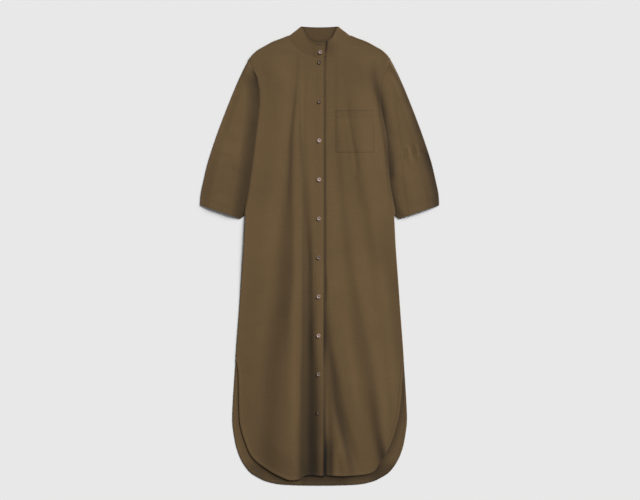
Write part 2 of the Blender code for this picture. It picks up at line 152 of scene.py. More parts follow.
def named(piece, name):
    piece.name = name
    piece.data.name = name
    return piece


def sheet_of(name, points, closed=False):
    """Rows of points, in millimetres, as a sheet of quads; a closed one is a tube round each row."""
    bpy.ops.object.select_all(action="DESELECT")
    rows, columns = points.shape[:2]
    bpy.ops.mesh.primitive_grid_add(x_subdivisions=columns - 1, y_subdivisions=rows - 1, size=1.0)
    piece = named(bpy.context.object, name)
    piece.data.vertices.foreach_set("co", (points * MM).astype(np.float32).ravel())
    middle_z = points[..., 2].mean() * MM
    faces_down = sum(face.normal.z for face in piece.data.polygons if face.center.z > middle_z) < 0.0
    bpy.ops.object.mode_set(mode="EDIT")
    bpy.ops.mesh.select_all(action="SELECT")
    if faces_down:
        bpy.ops.mesh.flip_normals()
    if closed:
        bpy.ops.mesh.remove_doubles(threshold=0.005 * MM)
    bpy.ops.object.mode_set(mode="OBJECT")
    bpy.ops.object.shade_smooth()
    return piece


def give_wall(piece, wall, offset=-1.0):
    """Thicken a sheet into cloth, smooth to look at but for its raw edges."""
    solidify = piece.modifiers.new("wall", "SOLIDIFY")
    solidify.thickness = wall * MM
    solidify.offset = offset
    bpy.ops.object.modifier_apply(modifier="wall")
    bpy.ops.object.shade_smooth_by_angle(angle=math.radians(50.0))
    return piece


def tube_points(sections, rings, top_of, side):
    """Rings of points round a flattened tube: over its top, round the outer fold, and back below."""
    turn = np.linspace(-0.5, 0.5, TUBE_POINTS)
    over = 0.25 * np.sin(turn * math.pi) + 0.5 * turn + 0.5
    middle_z = SLEEVE_FLAT / 2.0
    rows = []
    for outer_x, outer_y, inner_x, inner_y, bow in smooth_curve(sections, rings):
        outer, inner = np.array((outer_x, outer_y)), np.array((inner_x, inner_y))
        width = math.hypot(*(outer - inner))
        towards_body = np.array((inner_y - outer_y, outer_x - inner_x)) / width
        ring = []
        for shares, upper in ((over, True), (over[::-4][1:-1], False)):
            bowed = bow * np.sin(math.pi * shares)[:, None]
            place = inner + (outer - inner) * shares[:, None] + towards_body * bowed
            x, y = side * place[:, 0], place[:, 1]
            from_fold = np.clip(np.minimum(shares, 1.0 - shares) * width / SLEEVE_NOSE, 0.0, 1.0)
            round_off = np.sqrt(np.clip(1.0 - (1.0 - from_fold) ** 2, 0.0, 1.0))
            level = top_of(x, y, (1.0 - shares) * width, shares * width) if upper else 0.0
            ring.append(np.column_stack((x, y, middle_z + (level - middle_z) * round_off)))
        ring.append(ring[0][:1])
        rows.append(np.vstack(ring))
    return np.array(rows)


def sleeve_top(word):
    """The height of a sleeve's upper wall: flat under the body, lifted and creased outside it."""
    def top_of(x, y, from_outer, from_inner):
        clear = np.abs(x) - side_edge(x, y)
        at_seam = AIR_AT_SEAM * ramp((clear + 0.3) / SEAM_RUN)
        air = np.maximum(ramp((clear - AIR_START) / AIR_RUN), at_seam)
        air = air * ramp(from_outer / OUTER_REACH) * ramp(from_inner / INNER_REACH)
        creased = np.maximum(creases(SLEEVE_CREASES[word], x, y), DEEPEST_CREASE)
        soft = SLEEVE_FLAT + SLEEVE_AIR * air + creased * ramp((clear - CREASE_START) / CREASE_RUN)
        level = SEAM_LEVEL + SHOULDER_LIFT * ramp((y - SHOULDER_START) / SHOULDER_RUN)
        head = ramp((y - SLEEVE_HEAD) / HEAD_RUN) * ramp((clear - 0.6) / 3.0) * ramp(from_outer / 8.0)
        return soft + (level - soft) * head
    return top_of


def store_shade(piece, tones):
    """Store each point's tone for the material, which is mostly painted shade; one tone does for all,
    and a wall's far side has the tones of its near side."""
    tones = np.resize(np.ravel(tones), len(piece.data.vertices))
    shade = piece.data.attributes.new("shade", "FLOAT", "POINT")
    shade.data.foreach_set("value", tones.astype(np.float32))


def points_of(piece):
    """The points of a mesh, in millimetres."""
    places = np.empty(len(piece.data.vertices) * 3, dtype=np.float32)
    piece.data.vertices.foreach_get("co", places)
    return places.reshape(-1, 3) / MM


def set_shade(piece, tone_of):
    """Give every point the painted shade that belongs to its place."""
    x, y, _ = points_of(piece).T
    store_shade(piece, tone_of(x, y))


def set_inputs(tree, node, inputs):
    """Set each named input of a shading node, or link it where the value is a socket."""
    for socket, value in inputs.items():
        if isinstance(value, bpy.types.NodeSocket):
            tree.links.new(value, node.inputs[socket])
        else:
            node.inputs[socket].default_value = value
    return node


def add_node(tree, kind, inputs, **options):
    """A new shading node with its options and inputs."""
    node = tree.nodes.new("ShaderNode" + kind)
    for option, value in options.items():
        setattr(node, option, value)
    return set_inputs(tree, node, inputs)


def mixed(tree, factor, first, second, blend="MIX"):
    """The second colour over the first one, as far as the factor says."""
    inputs = {"Factor": factor, "A": first, "B": second}
    return add_node(tree, "Mix", inputs, data_type="RGBA", blend_type=blend).outputs["Result"]


THREADS_PER_METRE = 2400.0
# stretch and scale of the uneven tone of the threads that run along Y and X, and of the whole cloth
YARNS = (((1.0, 0.02, 1.0), 900.0), ((0.02, 1.0, 1.0), 700.0), ((1.0, 1.0, 1.0), 7.0))


def weave_group():
    """Plain weave for every piece of poplin: its threads as a height, and its yarns' uneven tone."""
    group = bpy.data.node_groups.new("poplin_weave", "ShaderNodeTree")
    for name, way, kind in (("Place", "INPUT", "Vector"), ("Colour", "INPUT", "Color"),
                            ("Colour", "OUTPUT", "Color"), ("Threads", "OUTPUT", "Float"),
                            ("Roughness", "OUTPUT", "Float")):
        group.interface.new_socket(name, in_out=way, socket_type="NodeSocket" + kind)
    entry, leave = group.nodes.new("NodeGroupInput"), group.nodes.new("NodeGroupOutput")
    split = add_node(group, "SeparateXYZ", {0: entry.outputs["Place"]})
    waves = []
    for axis in ("X", "Y"):
        turn = {0: split.outputs[axis], 1: THREADS_PER_METRE * math.pi}
        turned = add_node(group, "Math", turn, operation="MULTIPLY").outputs[0]
        waves.append(add_node(group, "Math", {0: turned}, operation="SINE").outputs[0])
    crossing = {0: waves[0], 1: waves[1], 2: 0.5}
    over_under = add_node(group, "Math", crossing, operation="MULTIPLY_ADD").outputs[0]
    tone = entry.outputs["Colour"]
    for stretch, scale in YARNS:
        place = add_node(group, "Mapping", {"Vector": entry.outputs["Place"], "Scale": stretch})
        noise = {"Vector": place.outputs[0], "Scale": scale, "Detail": 2.0}
        spread = {"Value": add_node(group, "TexNoise", noise).outputs["Fac"],
                  "From Min": 0.3, "From Max": 0.7, "To Min": 0.95, "To Max": 1.05}
        uneven = add_node(group, "MapRange", spread).outputs["Result"]
        tone = mixed(group, 1.0, tone, uneven, "MULTIPLY")
    rough = add_node(group, "MapRange", {"Value": over_under, "To Min": 0.78, "To Max": 0.92})
    results = {"Colour": tone, "Threads": over_under, "Roughness": rough.outputs["Result"]}
    set_inputs(group, leave, results)
    return group


def new_material(name):
    """A material with its node tree and its shader."""
    material = bpy.data.materials.new(name)
    material.use_nodes = True
    return material, material.node_tree, material.node_tree.nodes["Principled BSDF"]


def shaded(tree, colour):
    """The colour, darkened by the painted shade that the mesh's own shade attribute holds."""
    shade = add_node(tree, "Attribute", {}, attribute_name="shade")
    return mixed(tree, 1.0, colour, shade.outputs["Fac"], "MULTIPLY")


POPLIN_COLOUR = (0.127, 0.078, 0.032, 1.0)
weave = weave_group()


def poplin(name, turn=0.0):
    """Matt olive-brown poplin whose threads run turn degrees off the dress's length."""
    material, tree, shader = new_material(name)
    place = add_node(tree, "TexCoord", {}).outputs["Object"]
    grain = add_node(tree, "Mapping", {"Vector": place, "Rotation": (0.0, 0.0, math.radians(turn))})
    inputs = {"Colour": POPLIN_COLOUR, "Place": grain.outputs[0]}
    threads = add_node(tree, "Group", inputs, node_tree=weave).outputs
    bump = add_node(tree, "Bump", {"Strength": 0.5, "Distance": 0.06 * MM, "Height": threads["Threads"]})
    set_inputs(tree, shader, {
        "Base Color": shaded(tree, threads["Colour"]), "Roughness": threads["Roughness"],
        "Normal": bump.outputs["Normal"], "Sheen Weight": 0.05, "Sheen Roughness": 0.5,
        "Specular IOR Level": 0.25})
    return material


def finish_cloth(piece, node, material):
    """Give the piece its material, attach it to the root body, and hide the solid that it stands for."""
    piece.data.materials.clear()
    piece.data.materials.append(material)
    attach(piece, "root")
    if node:
        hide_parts(node)
    return piece


# painted shade beside the body, where the sleeve goes under it: loss of tone, its reach, how sharply
# it ends, the y where it starts and the run over which it grows, then the painted tone at the cuff's end
SLEEVE_TONES = {
    "right": (0.54, 38, 3, 566, 44, 0.88),
    "left": (0.66, 19, 2, 543, 112, 0.95)}
# y, loss and reach of the shade along the wearer's left sleeve's outer fold
OUTER_SHADE = (
    (600, 0.16, 24), (565, 0.22, 20), (544, 0.42, 12), (505, 0.5, 16), (469, 0.56, 21),
    (439, 0.54, 18), (409, 0.6, 20), (379, 0.62, 25), (349, 0.56, 28), (325, 0.56, 34),
    (304, 0.78, 27), (274, 0.72, 29), (244, 0.62, 28), (214, 0.66, 29), (184, 0.62, 31),
    (150, 0.6, 30))
# y, loss, distance from the body and reach of the darkest painted shade beside the body
ARMPIT_SHADE = {
    "right": (
        (570, 0, 4, 8), (546, 0.56, 4, 7), (505, 0.32, 4, 8), (465, 0.1, 4, 8), (430, 0, 4, 8)),
    "left": (
        (530, 0, 4, 8), (505, 0.1, 4, 8), (465, 0.32, 4, 8), (425, 0.34, 4, 8), (395, 0.12, 4, 8),
        (360, 0, 4, 8), (320, 0.06, 12, 9), (274, 0.32, 13, 9), (244, 0.38, 11, 9), (222, 0, 11, 9))}
# the sleeve's end: y at its outer fold, x there, and its rise for each millimetre inwards
CUFF_SEAM_Y, CUFF_SEAM_X, CUFF_SEAM_SLOPE = 325.0, 322.0, 0.37


def sleeve_tone(word, sections):
    """Painted shade where a sleeve goes in under the body, towards the cuff's end and along the left
    one's outer fold.
    """
    loss, reach, power, start, run, end_tone = SLEEVE_TONES[word]
    outer_fold = np.array(sections)[:, 1::-1]

    def tone_of(x, y):
        clear = np.maximum(np.abs(x) - side_edge(x, y), 0.0)
        below_seam = CUFF_SEAM_Y - CUFF_SEAM_SLOPE * (CUFF_SEAM_X - np.abs(x)) - y
        tone = 1.0 - (1.0 - end_tone) * ramp(below_seam / 70.0 + 0.4)
        tone = tone * (1.0 - loss * ramp((start - y) / run) * np.exp(-(clear / reach) ** power))
        deep, middle, wide = at_height(ARMPIT_SHADE[word], y)
        tone = tone * (1.0 - deep * bell((clear - middle) / wide))
        if word == "left":
            from_outer = at_height(outer_fold, y)[0] - np.abs(x)
            outer_loss, width = at_height(OUTER_SHADE, y)
            tone = tone * (1.0 - outer_loss * bell(from_outer / width))
        return tone
    return tone_of


for side, word in ((-1, "right"), (1, "left")):
    tube = tube_points(SLEEVE_SECTIONS, 96, sleeve_top(word), side)
    sleeve = sheet_of("cloth_sleeve_" + word, tube, closed=True)
    give_wall(sleeve, WALL)
    set_shade(sleeve, sleeve_tone(word, SLEEVE_SECTIONS))
    finish_cloth(sleeve, "sleeve_" + word, poplin("sleeve_poplin_" + word, side * 21.0))


# ---- The cuffs --------------------------------------------------------------------------------
# Each deep cuff is a straight band of the same poplin, sewn to the sleeve's end, with a stitched
# turning round its own end.
CUFF_SECTIONS = (
    (322.05, 324.9, 168.05, 267.9, 0), (336.3, 278.2, 178, 222, 0), (349, 224, 200, 166, 0),
    (356.4, 188, 222, 128, 0), (358.5, 155, 238.5, 114, 0))
STITCH_LENGTH, STITCH_PITCH, THREAD = 2.5, 3.2, 0.27


def sewing_thread():
    """Matt cotton thread in the cloth's colour, twisted from fine plies."""
    material, tree, shader = new_material("sewing_thread")
    place = add_node(tree, "TexCoord", {}).outputs["Object"]
    twist = add_node(tree, "TexWave", {"Vector": place, "Scale": 1400.0}, bands_direction="DIAGONAL")
    plies = mixed(tree, twist.outputs["Fac"], (0.085, 0.052, 0.021, 1.0), (0.145, 0.090, 0.038, 1.0))
    set_inputs(tree, shader, {"Base Color": shaded(tree, plies), "Roughness": 0.7})
    return material


cotton_thread = sewing_thread()


def spindle(length, thickness, x=0.0, y=0.0):
    """One short stitch along X, with its middle at x, y."""
    bpy.ops.object.select_all(action="DESELECT")
    bpy.ops.mesh.primitive_uv_sphere_add(segments=6, ring_count=4, radius=MM,
                                         rotation=(0.0, math.pi / 2.0, 0.0))
    bpy.ops.object.transform_apply(location=False, rotation=True, scale=False)
    bpy.ops.transform.resize(value=(length / 2.0, thickness, thickness))
    bpy.ops.transform.translate(value=(x * MM, y * MM, 0.0))
    bpy.ops.object.transform_apply(location=True, rotation=False, scale=True)
    return bpy.context.object


def repeated(piece, count, step_x, step_y):
    """Repeat a stitch in a straight row."""
    repeat = piece.modifiers.new("repeat", "ARRAY")
    repeat.count = count
    repeat.use_relative_offset = False
    repeat.use_constant_offset = True
    repeat.constant_offset_displace = (step_x * MM, step_y * MM, 0.0)
    bpy.ops.object.modifier_apply(modifier="repeat")
    return piece


def line_through(name, points):
    """A curve object that runs straight from each point to the next one."""
    line = bpy.data.curves.new(name, "CURVE")
    line.dimensions = "3D"
    spline = line.splines.new("POLY")
    spline.points.add(len(points) - 1)
    spline.points.foreach_set("co", np.column_stack((points, np.ones(len(points)))).ravel())
    guide = bpy.data.objects.new(name, line)
    bpy.context.scene.collection.objects.link(guide)
    return guide


def stitch_row(name, points, tone_of):
    """A row of machine stitches: one low stitch, repeated and bent along the line that it follows, with
    the painted shade of the cloth beneath it.
    """
    points = np.asarray(points) * MM
    length = np.sqrt((np.diff(points, axis=0) ** 2).sum(axis=1)).sum()
    guide = line_through(name + "_line", points)
    count = int(length / (STITCH_PITCH * MM))
    row = named(repeated(spindle(STITCH_LENGTH, THREAD), count, STITCH_PITCH, 0.0), name)
    follow = row.modifiers.new("follow", "CURVE")
    follow.object = guide
    bpy.ops.object.modifier_apply(modifier="follow")
    bpy.data.objects.remove(guide)
    bpy.ops.object.shade_smooth()
    set_shade(row, tone_of)
    return finish_cloth(row, None, cotton_thread)


for side, word in ((-1, "right"), (1, "left")):
    tube = tube_points(CUFF_SECTIONS, 60, sleeve_top(word), side)
    cuff = sheet_of("cloth_cuff_" + word, tube, closed=True)
    give_wall(cuff, WALL)
    cuff_tone = sleeve_tone(word, CUFF_SECTIONS)
    set_shade(cuff, cuff_tone)
    finish_cloth(cuff, "cuff_" + word, poplin("cuff_poplin_" + word, side * 18.0))
    for place, ring in (("seam", 1), ("hem", 50), ("edge", 58)):
        line = tube[ring, 2:TUBE_POINTS - 2] + (0.0, 0.0, 0.08)
        stitch_row("stitches_cuff_%s_%s" % (word, place), line, cuff_tone)


# ---- The back ---------------------------------------------------------------------------------
# The back is one whole width of poplin with a long curved tail. It lies on the surface and rises
# over the sleeves, and its inside shows in the neck and below the fronts' hems.
BACK_NECK = ((0, 642.7), (32, 644.5), (64, 651), (95.8, 661.7))
SHOULDER = ((95.8, 661.7), (112, 654.8), (140, 644), (166, 629.9), (186.9, 617.8), (203.8, 602))
BACK_HEM = (
    (0, -685.4), (60, -684.8), (120, -681.6), (158, -673.5), (178, -665), (204.6, -649),
    (221, -631), (232.5, -613), (241, -595), (250, -568), (256, -538))
# y and x of the sleeve's inner fold, where it lies under the body
SLEEVE_INNER = (
    (620, 180), (607, 188), (566, 183), (500, 164), (455, 158), (395, 146), (350, 148), (288, 160),
    (230, 172), (170, 192), (120, 212), (60, 240), (0, 272), (-80, 320), (-160, 380))
BODY_RISE, BACK_SLOPE = 3.4, 34.0
CLOTH, LAYER_GAP = 1.1, 0.3


def over_sleeve(x, y, reach):
    """0 beside the sleeve that lies under the body and 1 over it, with a slope of the given reach."""
    inner = at_height(SLEEVE_INNER, y)[0]
    return ramp((np.abs(x) - inner + 16.0 + reach) / reach)


def back_underside(x, y):
    """The back lies on the surface and rises over the sleeves."""
    return BODY_RISE * over_sleeve(x, y, BACK_SLOPE)


def back_top(x, y):
    return back_underside(x, y) + WALL


def patch(top, bottom, inner, outer):
    """Rows of points that fill the space between four edges."""
    u = np.linspace(0.0, 1.0, len(top))[None, :, None]
    v = np.linspace(0.0, 1.0, len(inner))[:, None, None]
    return ((1 - v) * top[None] + v * bottom[None] + (1 - u) * inner[:, None] + u * outer[:, None]
            - (1 - u) * (1 - v) * top[0] - u * (1 - v) * top[-1]
            - (1 - u) * v * bottom[0] - u * v * bottom[-1])


def panel_grid(neck, slit, hem, columns, rows, side):
    """Points of half a panel from its middle to its side, rows from the neck down to the hem."""
    top = np.vstack((smooth_curve(neck, 7 * columns)[:-1], smooth_curve(SHOULDER, 10 * columns)))
    outer = np.vstack((smooth_curve(ARMHOLE_AND_SIDE, 25 * rows)[:-1], smooth_curve(slit, 6 * rows)))
    outer[:, 0] += fuller(outer[:, 0] * side, outer[:, 1])
    bottom = smooth_curve(hem, len(top) - 1)
    inner = np.linspace(top[0], bottom[0], len(outer))
    return patch(top, bottom, inner, outer) * (side, 1.0)


def sheet_over(name, x, y, top_of):
    """A sheet of cloth, with its wall, over a grid of places."""
    return give_wall(sheet_of(name, np.dstack((x, y, top_of(x, y)))), WALL)


right_half, left_half = (panel_grid(BACK_NECK, BACK_SLIT, BACK_HEM, 3, 7, side) for side in (-1, 1))
grid = np.concatenate((right_half[:, :0:-1], left_half), axis=1)[::-1]
back = sheet_over("cloth_back", grid[..., 0], grid[..., 1], back_top)
finish_cloth(back, "back", poplin("back_poplin"))


# ---- The fronts -------------------------------------------------------------------------------
# The two fronts are sewn to the back at the shoulders, armholes and sides. The wearer's right one
# laps over the left one, and both lie in long soft folds that open towards the curved hem.
FRONT_NECK = ((20, 602), (42, 608.5), (62, 621), (80, 640.5), (95.8, 661.7))
RIGHT_SLIT = ((251.5, -310), (244.8, -345), (243, -390), (242.3, -440), (240, -496))
RIGHT_HEM = (
    (-15.2, -657), (25, -655), (46, -657.5), (58, -667), (88, -670), (112, -662), (140, -648.5),
    (170, -629), (195, -609), (211, -587), (222, -560), (232, -530), (240, -496))
LEFT_SLIT = ((251.5, -310), (248, -370), (243.5, -428), (237, -481))
LEFT_HEM = (
    (-15, -654), (22, -656), (66, -657.7), (108, -656), (146, -651), (165, -641), (176, -624),
    (190, -603), (203, -580), (214, -557), (226, -521), (237, -481))
NECK_Y, SLIT_Y = 601.0, -310.0
BAND_EDGE, UNDERLAP_EDGE = 15.2, -15.0
FRONT_LOFT, FRONT_SLOPE, SEAM_REACH, HEM_REACH = 3.2, 114.0, 75.0, 80.0
UNDERLAP_DROP, UNDERLAP_REACH = 1.5, 13.0    # the left front's fall beside the band
# Lines along the folds, from the wearer's right side to the left one: y, x and height at each row. Each
# long fold is a gentle fall away from the right and a steeper drop on its left.
FOLD_LINES = (
    ((600, -84, 0), (350, -105, 0), (95, -126, 0), (-160, -165, 0), (-340, -189, 0), (-700, -208, 0)),
    ((600, -58, 0.3), (350, -70, 1.4), (95, -70, 2.2), (-160, -72, 3), (-340, -80, 3.2),
     (-700, -86, 3.2)),
    ((600, -54, 0.3), (350, -60, 1.3), (95, -60, 2), (-160, -60, 2.7), (-340, -64, 2.9),
     (-700, -68, 2.9)),
    ((600, -44, 0.2), (350, -50, 0.7), (95, -38, 1.1), (-160, -32, 1), (-340, -30, 0.8),
     (-700, -29, 0.6)),
    ((600, -30, 0.3), (350, -36, 1.4), (95, -16, 2.2), (-160, -6, 2.5), (-340, -4, 2.8), (-700, -4, 3.1)),
    ((600, 16, 0.3), (350, 16, 1.3), (95, 16, 2.1), (-160, 16, 2.4), (-340, 15, 2.7), (-700, 15, 3)),
    ((600, 36, 0.2), (350, 42, 0.8), (95, 60, 1), (-160, 84, 1.5), (-340, 112, 1.5), (-520, 150, 1),
     (-700, 172, 0.8)),
    ((600, 48, 0.2), (350, 62, 1.05), (200, 79, 1.45), (95, 92, 2), (-160, 126, 3), (-340, 158, 3.2),
     (-520, 186, 3), (-700, 204, 2.8)),
    ((600, 70, 0.1), (350, 84, 0.8), (95, 134, 0.9), (-160, 172, 1.2), (-340, 196, 0.9),
     (-520, 214, 0.6), (-700, 226, 0.4)),
    ((600, 84, 0.1), (350, 108, 1.3), (95, 156, 1.4), (-160, 196, 1.6), (-340, 214, 1.3),
     (-520, 224, 0.8), (-700, 234, 0.5)),
    ((600, 110, 0), (350, 150, 0.4), (95, 190, 0.6), (-160, 220, 0.7), (-340, 232, 0.5),
     (-700, 242, 0.3)))
# start x, y, end x, y, sideways bow, half width left and right of it, height at the start and the end
FRONT_CREASES = (
    (19, -100, 28, -860, 0, 7, 10, -0.3, -2.6), (20, -200, 106, -620, -9, 12, 13, -0.8, -2.2),
    (34, -440, 80, -680, 0, 11, 13, 0.5, 2.2), (84, 450, 112, 260, 0, 7, 10, -0.5, -0.9),
    (-45, -615, -28, -676, 0, 5, 6, 0.6, 1.2))
# the painted shade of each fold: y, x, reach left and right, loss of tone (a painted highlight where
# it is negative)
FOLD_TONES = (
    ((620, -66, 5, 5, 0), (555, -66, 6, 6, 0.14), (455, -75, 8, 8, 0.12), (350, -84, 9, 9, 0.14),
     (230, -90, 12, 10, 0.14), (95, -104, 18, 16, 0.14), (-70, -112, 22, 20, 0.2),
     (-160, -118, 28, 24, 0.26), (-340, -140, 32, 32, 0.26), (-520, -148, 34, 34, 0.27),
     (-700, -150, 34, 34, 0.26)),
    ((520, -70, 4, 4, 0), (469, -73, 5, 4, 0.2), (379, -83, 5, 5, 0.29), (289, -86, 8, 6, 0.3),
     (199, -88, 11, 8, 0.32), (94, -86, 20, 8, 0.26), (4, -86, 24, 8, 0.29),
     (-86, -88, 26, 9, 0.28), (-161, -95, 24, 10, 0.29), (-251, -98, 24, 10, 0.14),
     (-341, -112, 24, 9, 0)),
    ((-60, -74, 12, 12, 0), (-161, -76, 12, 12, -0.1), (-251, -76, 13, 13, -0.14),
     (-341, -78, 14, 14, -0.2), (-431, -78, 13, 13, -0.18), (-521, -78, 12, 12, -0.08),
     (-640, -80, 12, 12, 0)),
    ((230, -52, 6, 12, 0), (199, -50, 6, 12, 0.12), (94, -48, 5, 14, 0.24), (4, -49, 5, 14, 0.31),
     (-86, -49, 5, 14, 0.35), (-251, -50, 5, 15, 0.37), (-341, -52, 6, 16, 0.41),
     (-431, -52, 7, 16, 0.46), (-521, -53, 10, 18, 0.47), (-600, -53, 11, 20, 0.5),
     (-700, -53, 12, 20, 0.5)),
    ((520, -58, 5, 5, 0), (440, -58, 6, 5, 0.09), (370, -56, 7, 5, 0.22), (289, -52, 8, 6, 0.24),
     (199, -44, 9, 8, 0.2), (170, -43, 9, 8, 0.18), (95, -34, 9, 8, 0.26), (4, -28, 9, 8, 0.48),
     (-86, -27, 12, 9, 0.52), (-160, -25, 14, 10, 0.5), (-250, -24, 15, 10, 0.67),
     (-340, -22, 18, 15, 0.6), (-431, -20, 20, 17, 0.64), (-520, -20, 22, 18, 0.69),
     (-600, -18, 24, 20, 0.7), (-700, -15, 26, 22, 0.72)),
    ((-60, 19, 4, 5, 0), (-160, 20, 4, 8, 0.12), (-250, 25, 8, 12, 0.34), (-341, 40, 12, 14, 0.5),
     (-431, 50, 13, 17, 0.6), (-521, 69, 13, 18, 0.6), (-600, 88, 13, 13, 0.42),
     (-640, 94, 13, 13, 0.24), (-700, 100, 12, 12, 0.1)),
    ((-470, 30, 12, 12, 0), (-521, 31, 12, 12, 0.2), (-540, 32, 13, 12, 0.26), (-566, 36, 17, 9, 0.5),
     (-600, 34, 14, 9, 0.58), (-650, 33, 14, 9, 0.6), (-700, 33, 14, 9, 0.6)),
    ((-560, 54, 9, 9, 0), (-596, 55, 10, 10, -0.16), (-640, 56, 12, 12, -0.12), (-700, 56, 12, 12, -0.1)),
    ((-100, -28, 10, 8, 0), (-161, -28, 10, 8, 0.1), (-251, -28, 12, 9, 0.22), (-341, -29, 12, 9, 0.24),
     (-431, -30, 14, 9, 0.33), (-521, -30, 14, 11, 0.38), (-596, -29, 14, 12, 0.36),
     (-640, -28, 15, 13, 0.46), (-700, -28, 15, 13, 0.46)),
    ((400, 50, 6, 6, 0.06), (95, 76, 10, 10, 0.08), (-160, 112, 16, 14, 0.12),
     (-340, 148, 18, 16, 0.14), (-431, 160, 16, 15, 0.26), (-520, 172, 14, 15, 0.38),
     (-595, 190, 17, 11, 0.7), (-640, 196, 14, 11, 0.72)),
    ((-160, 70, 12, 12, 0), (-251, 84, 16, 14, -0.12), (-341, 102, 13, 10, -0.13),
     (-431, 112, 13, 12, -0.14), (-521, 130, 12, 12, 0)),
    ((450, 84, 4, 4, 0), (430, 86, 4, 5, 0.08), (350, 100, 5, 5, 0.12), (312, 109, 6, 6, 0.14),
     (240, 116, 7, 7, 0.1), (120, 124, 9, 9, 0)),
    ((170, 205, 40, 20, 0), (4, 202, 42, 30, 0.16), (-86, 222, 38, 30, 0.18), (-161, 228, 34, 30, 0.2),
     (-251, 240, 28, 20, 0.17), (-341, 250, 22, 20, 0.1), (-500, 240, 20, 20, 0)),
    ((600, 160, 14, 14, 0), (544, 164, 15, 13, 0.28), (500, 174, 14, 10, 0.5), (469, 179, 9, 9, 0.56),
     (430, 184, 8, 8, 0.4), (379, 192, 7, 8, 0.3), (289, 205, 8, 9, 0.45), (199, 215, 8, 8, 0.2),
     (150, 222, 7, 7, 0)),
    ((520, -178, 6, 6, 0), (469, -183, 7, 6, 0.18), (379, -194, 8, 7, 0.15), (289, -207, 8, 7, 0.46),
     (199, -219, 8, 7, 0.42), (150, -227, 6, 6, 0)))
# y and painted shade down the length of the dress, darker at the neck and towards the hem
PAINTED_LENGTH_SHADE = (
    (700, 0.86), (620, 0.9), (560, 0.94), (450, 0.98), (-60, 0.98), (-340, 0.89), (-700, 0.84))
# y, x, reach left and right, loss of tone of the painted shadow beside the band's free edge, and at
# the collar's foot
GAP_TONES = (
    ((620, 17, 3, 1.8, 0.4), (465, 17, 3, 1.8, 0.5), (200, 17, 3, 2.2, 0.6), (-20, 17, 3, 3, 0.62),
     (-86, 17, 3, 6, 0.62), (-161, 17, 3, 4.5, 0.48), (-250, 17, 3, 5, 0.72),
     (-340, 17, 3, 6, 0.28), (-431, 17, 3, 3, 0.42), (-520, 17, 3, 3.5, 0.62),
     (-566, 17, 3, 7.5, 0.88), (-595, 17, 3, 7.2, 1), (-640, 17, 3, 6, 1), (-700, 17, 3, 6.5, 1)),
    ((608, 17.5, 3, 3, 0), (601, 17.5, 3, 3, 0.6), (592, 17.5, 3, 3, 0)))
HEM_WIDTH, HEM_STITCHES, HEM_LIFT = 8.0, 6.4, 0.3
EDGE_STITCHES = 2.6           # in from a seam or a folded edge
# distance in from the edge, height off the cloth and share of its tone, over a turned hem and round
# a sewn edge; the rim's lower shares are painted shade
HEM_PROFILE = (
    (-0.4, -0.95, 0.5), (-0.7, -0.5, 0.55), (-0.4, 0, 0.62), (0.4, 0.2, 0.8), (1.8, 0.3, 1),
    (4, 0.26, 1), (6.6, 0.3, 1), (HEM_WIDTH - 0.4, 0.18, 1), (HEM_WIDTH, 0, 1))
SEAM_PROFILE = (
    (4, 0.03, 1), (2, 0.1, 1), (0.6, 0, 1), (-0.5, -0.5, 1), (-1, -1.2, 1), (-0.9, -1.9, 1),
    (-0.2, -2.38, 1))
ARMHOLE_PROFILE = (
    (4, 0.03, 1), (2, 0.06, 1), (0.6, 0.04, 1), (-0.8, -0.08, 1), (-2.2, -0.26, 1),
    (-3.6, -0.52, 1), (-4.5, -0.95, 1), (-5, -2.3, 1))
# y and loss of tone of the painted shade along the armhole's edge, where the sleeve goes under the body
ARMHOLE_LOSS = {
    "right": (
        (578, 0), (562, 0.36), (546, 0.88), (522, 0.44), (480, 0.26), (130, 0.24)),
    "left": (
        (570, 0), (545, 0.24), (518, 0.44), (490, 0.46), (455, 0.36), (410, 0.24), (130, 0.2))}
ARMHOLE_TOP, ARMHOLE_FOOT = 597.0, 124.0
SLIT_LIFT, PUCKER = 0.3, 0.24    # the puckers as a share of a sewn edge's height


def lines_at(rows, y):
    """The columns after y of one fold's rows, smoothly interpolated at each y."""
    return at_height(smooth_curve(rows, 80), y)


def painted_shade_along_lines(folds, x, y):
    """Share of the cloth's tone left by painted shade along each line, or raised where its loss is
    negative.
    """
    tone = np.ones_like(x)
    for rows in folds:
        middle, left, right, loss = lines_at(rows, y)
        tone *= 1.0 - loss * bell((x - middle) / np.where(x > middle, right, left))
    return tone


def distance_to(path, x, y):
    """Distance of each point from a path of points in the plane."""
    path = np.asarray(path, dtype=float)
    flat = np.column_stack((np.ravel(x), np.ravel(y)))
    nearest = np.full(len(flat), 1e9)
    for start, end in zip(path[:-1], path[1:]):
        run = end - start
        share = np.clip((flat - start) @ run / max(run @ run, 1e-9), 0.0, 1.0)
        nearest = np.minimum(nearest, np.hypot(*(flat - start - share[:, None] * run).T))
    return nearest.reshape(np.shape(x))


def seam_distance(x, y):
    """Distance from the shoulder seam, taken as the straight line between its ends."""
    return distance_to((SHOULDER[0], SHOULDER[-1]), np.abs(x), y)


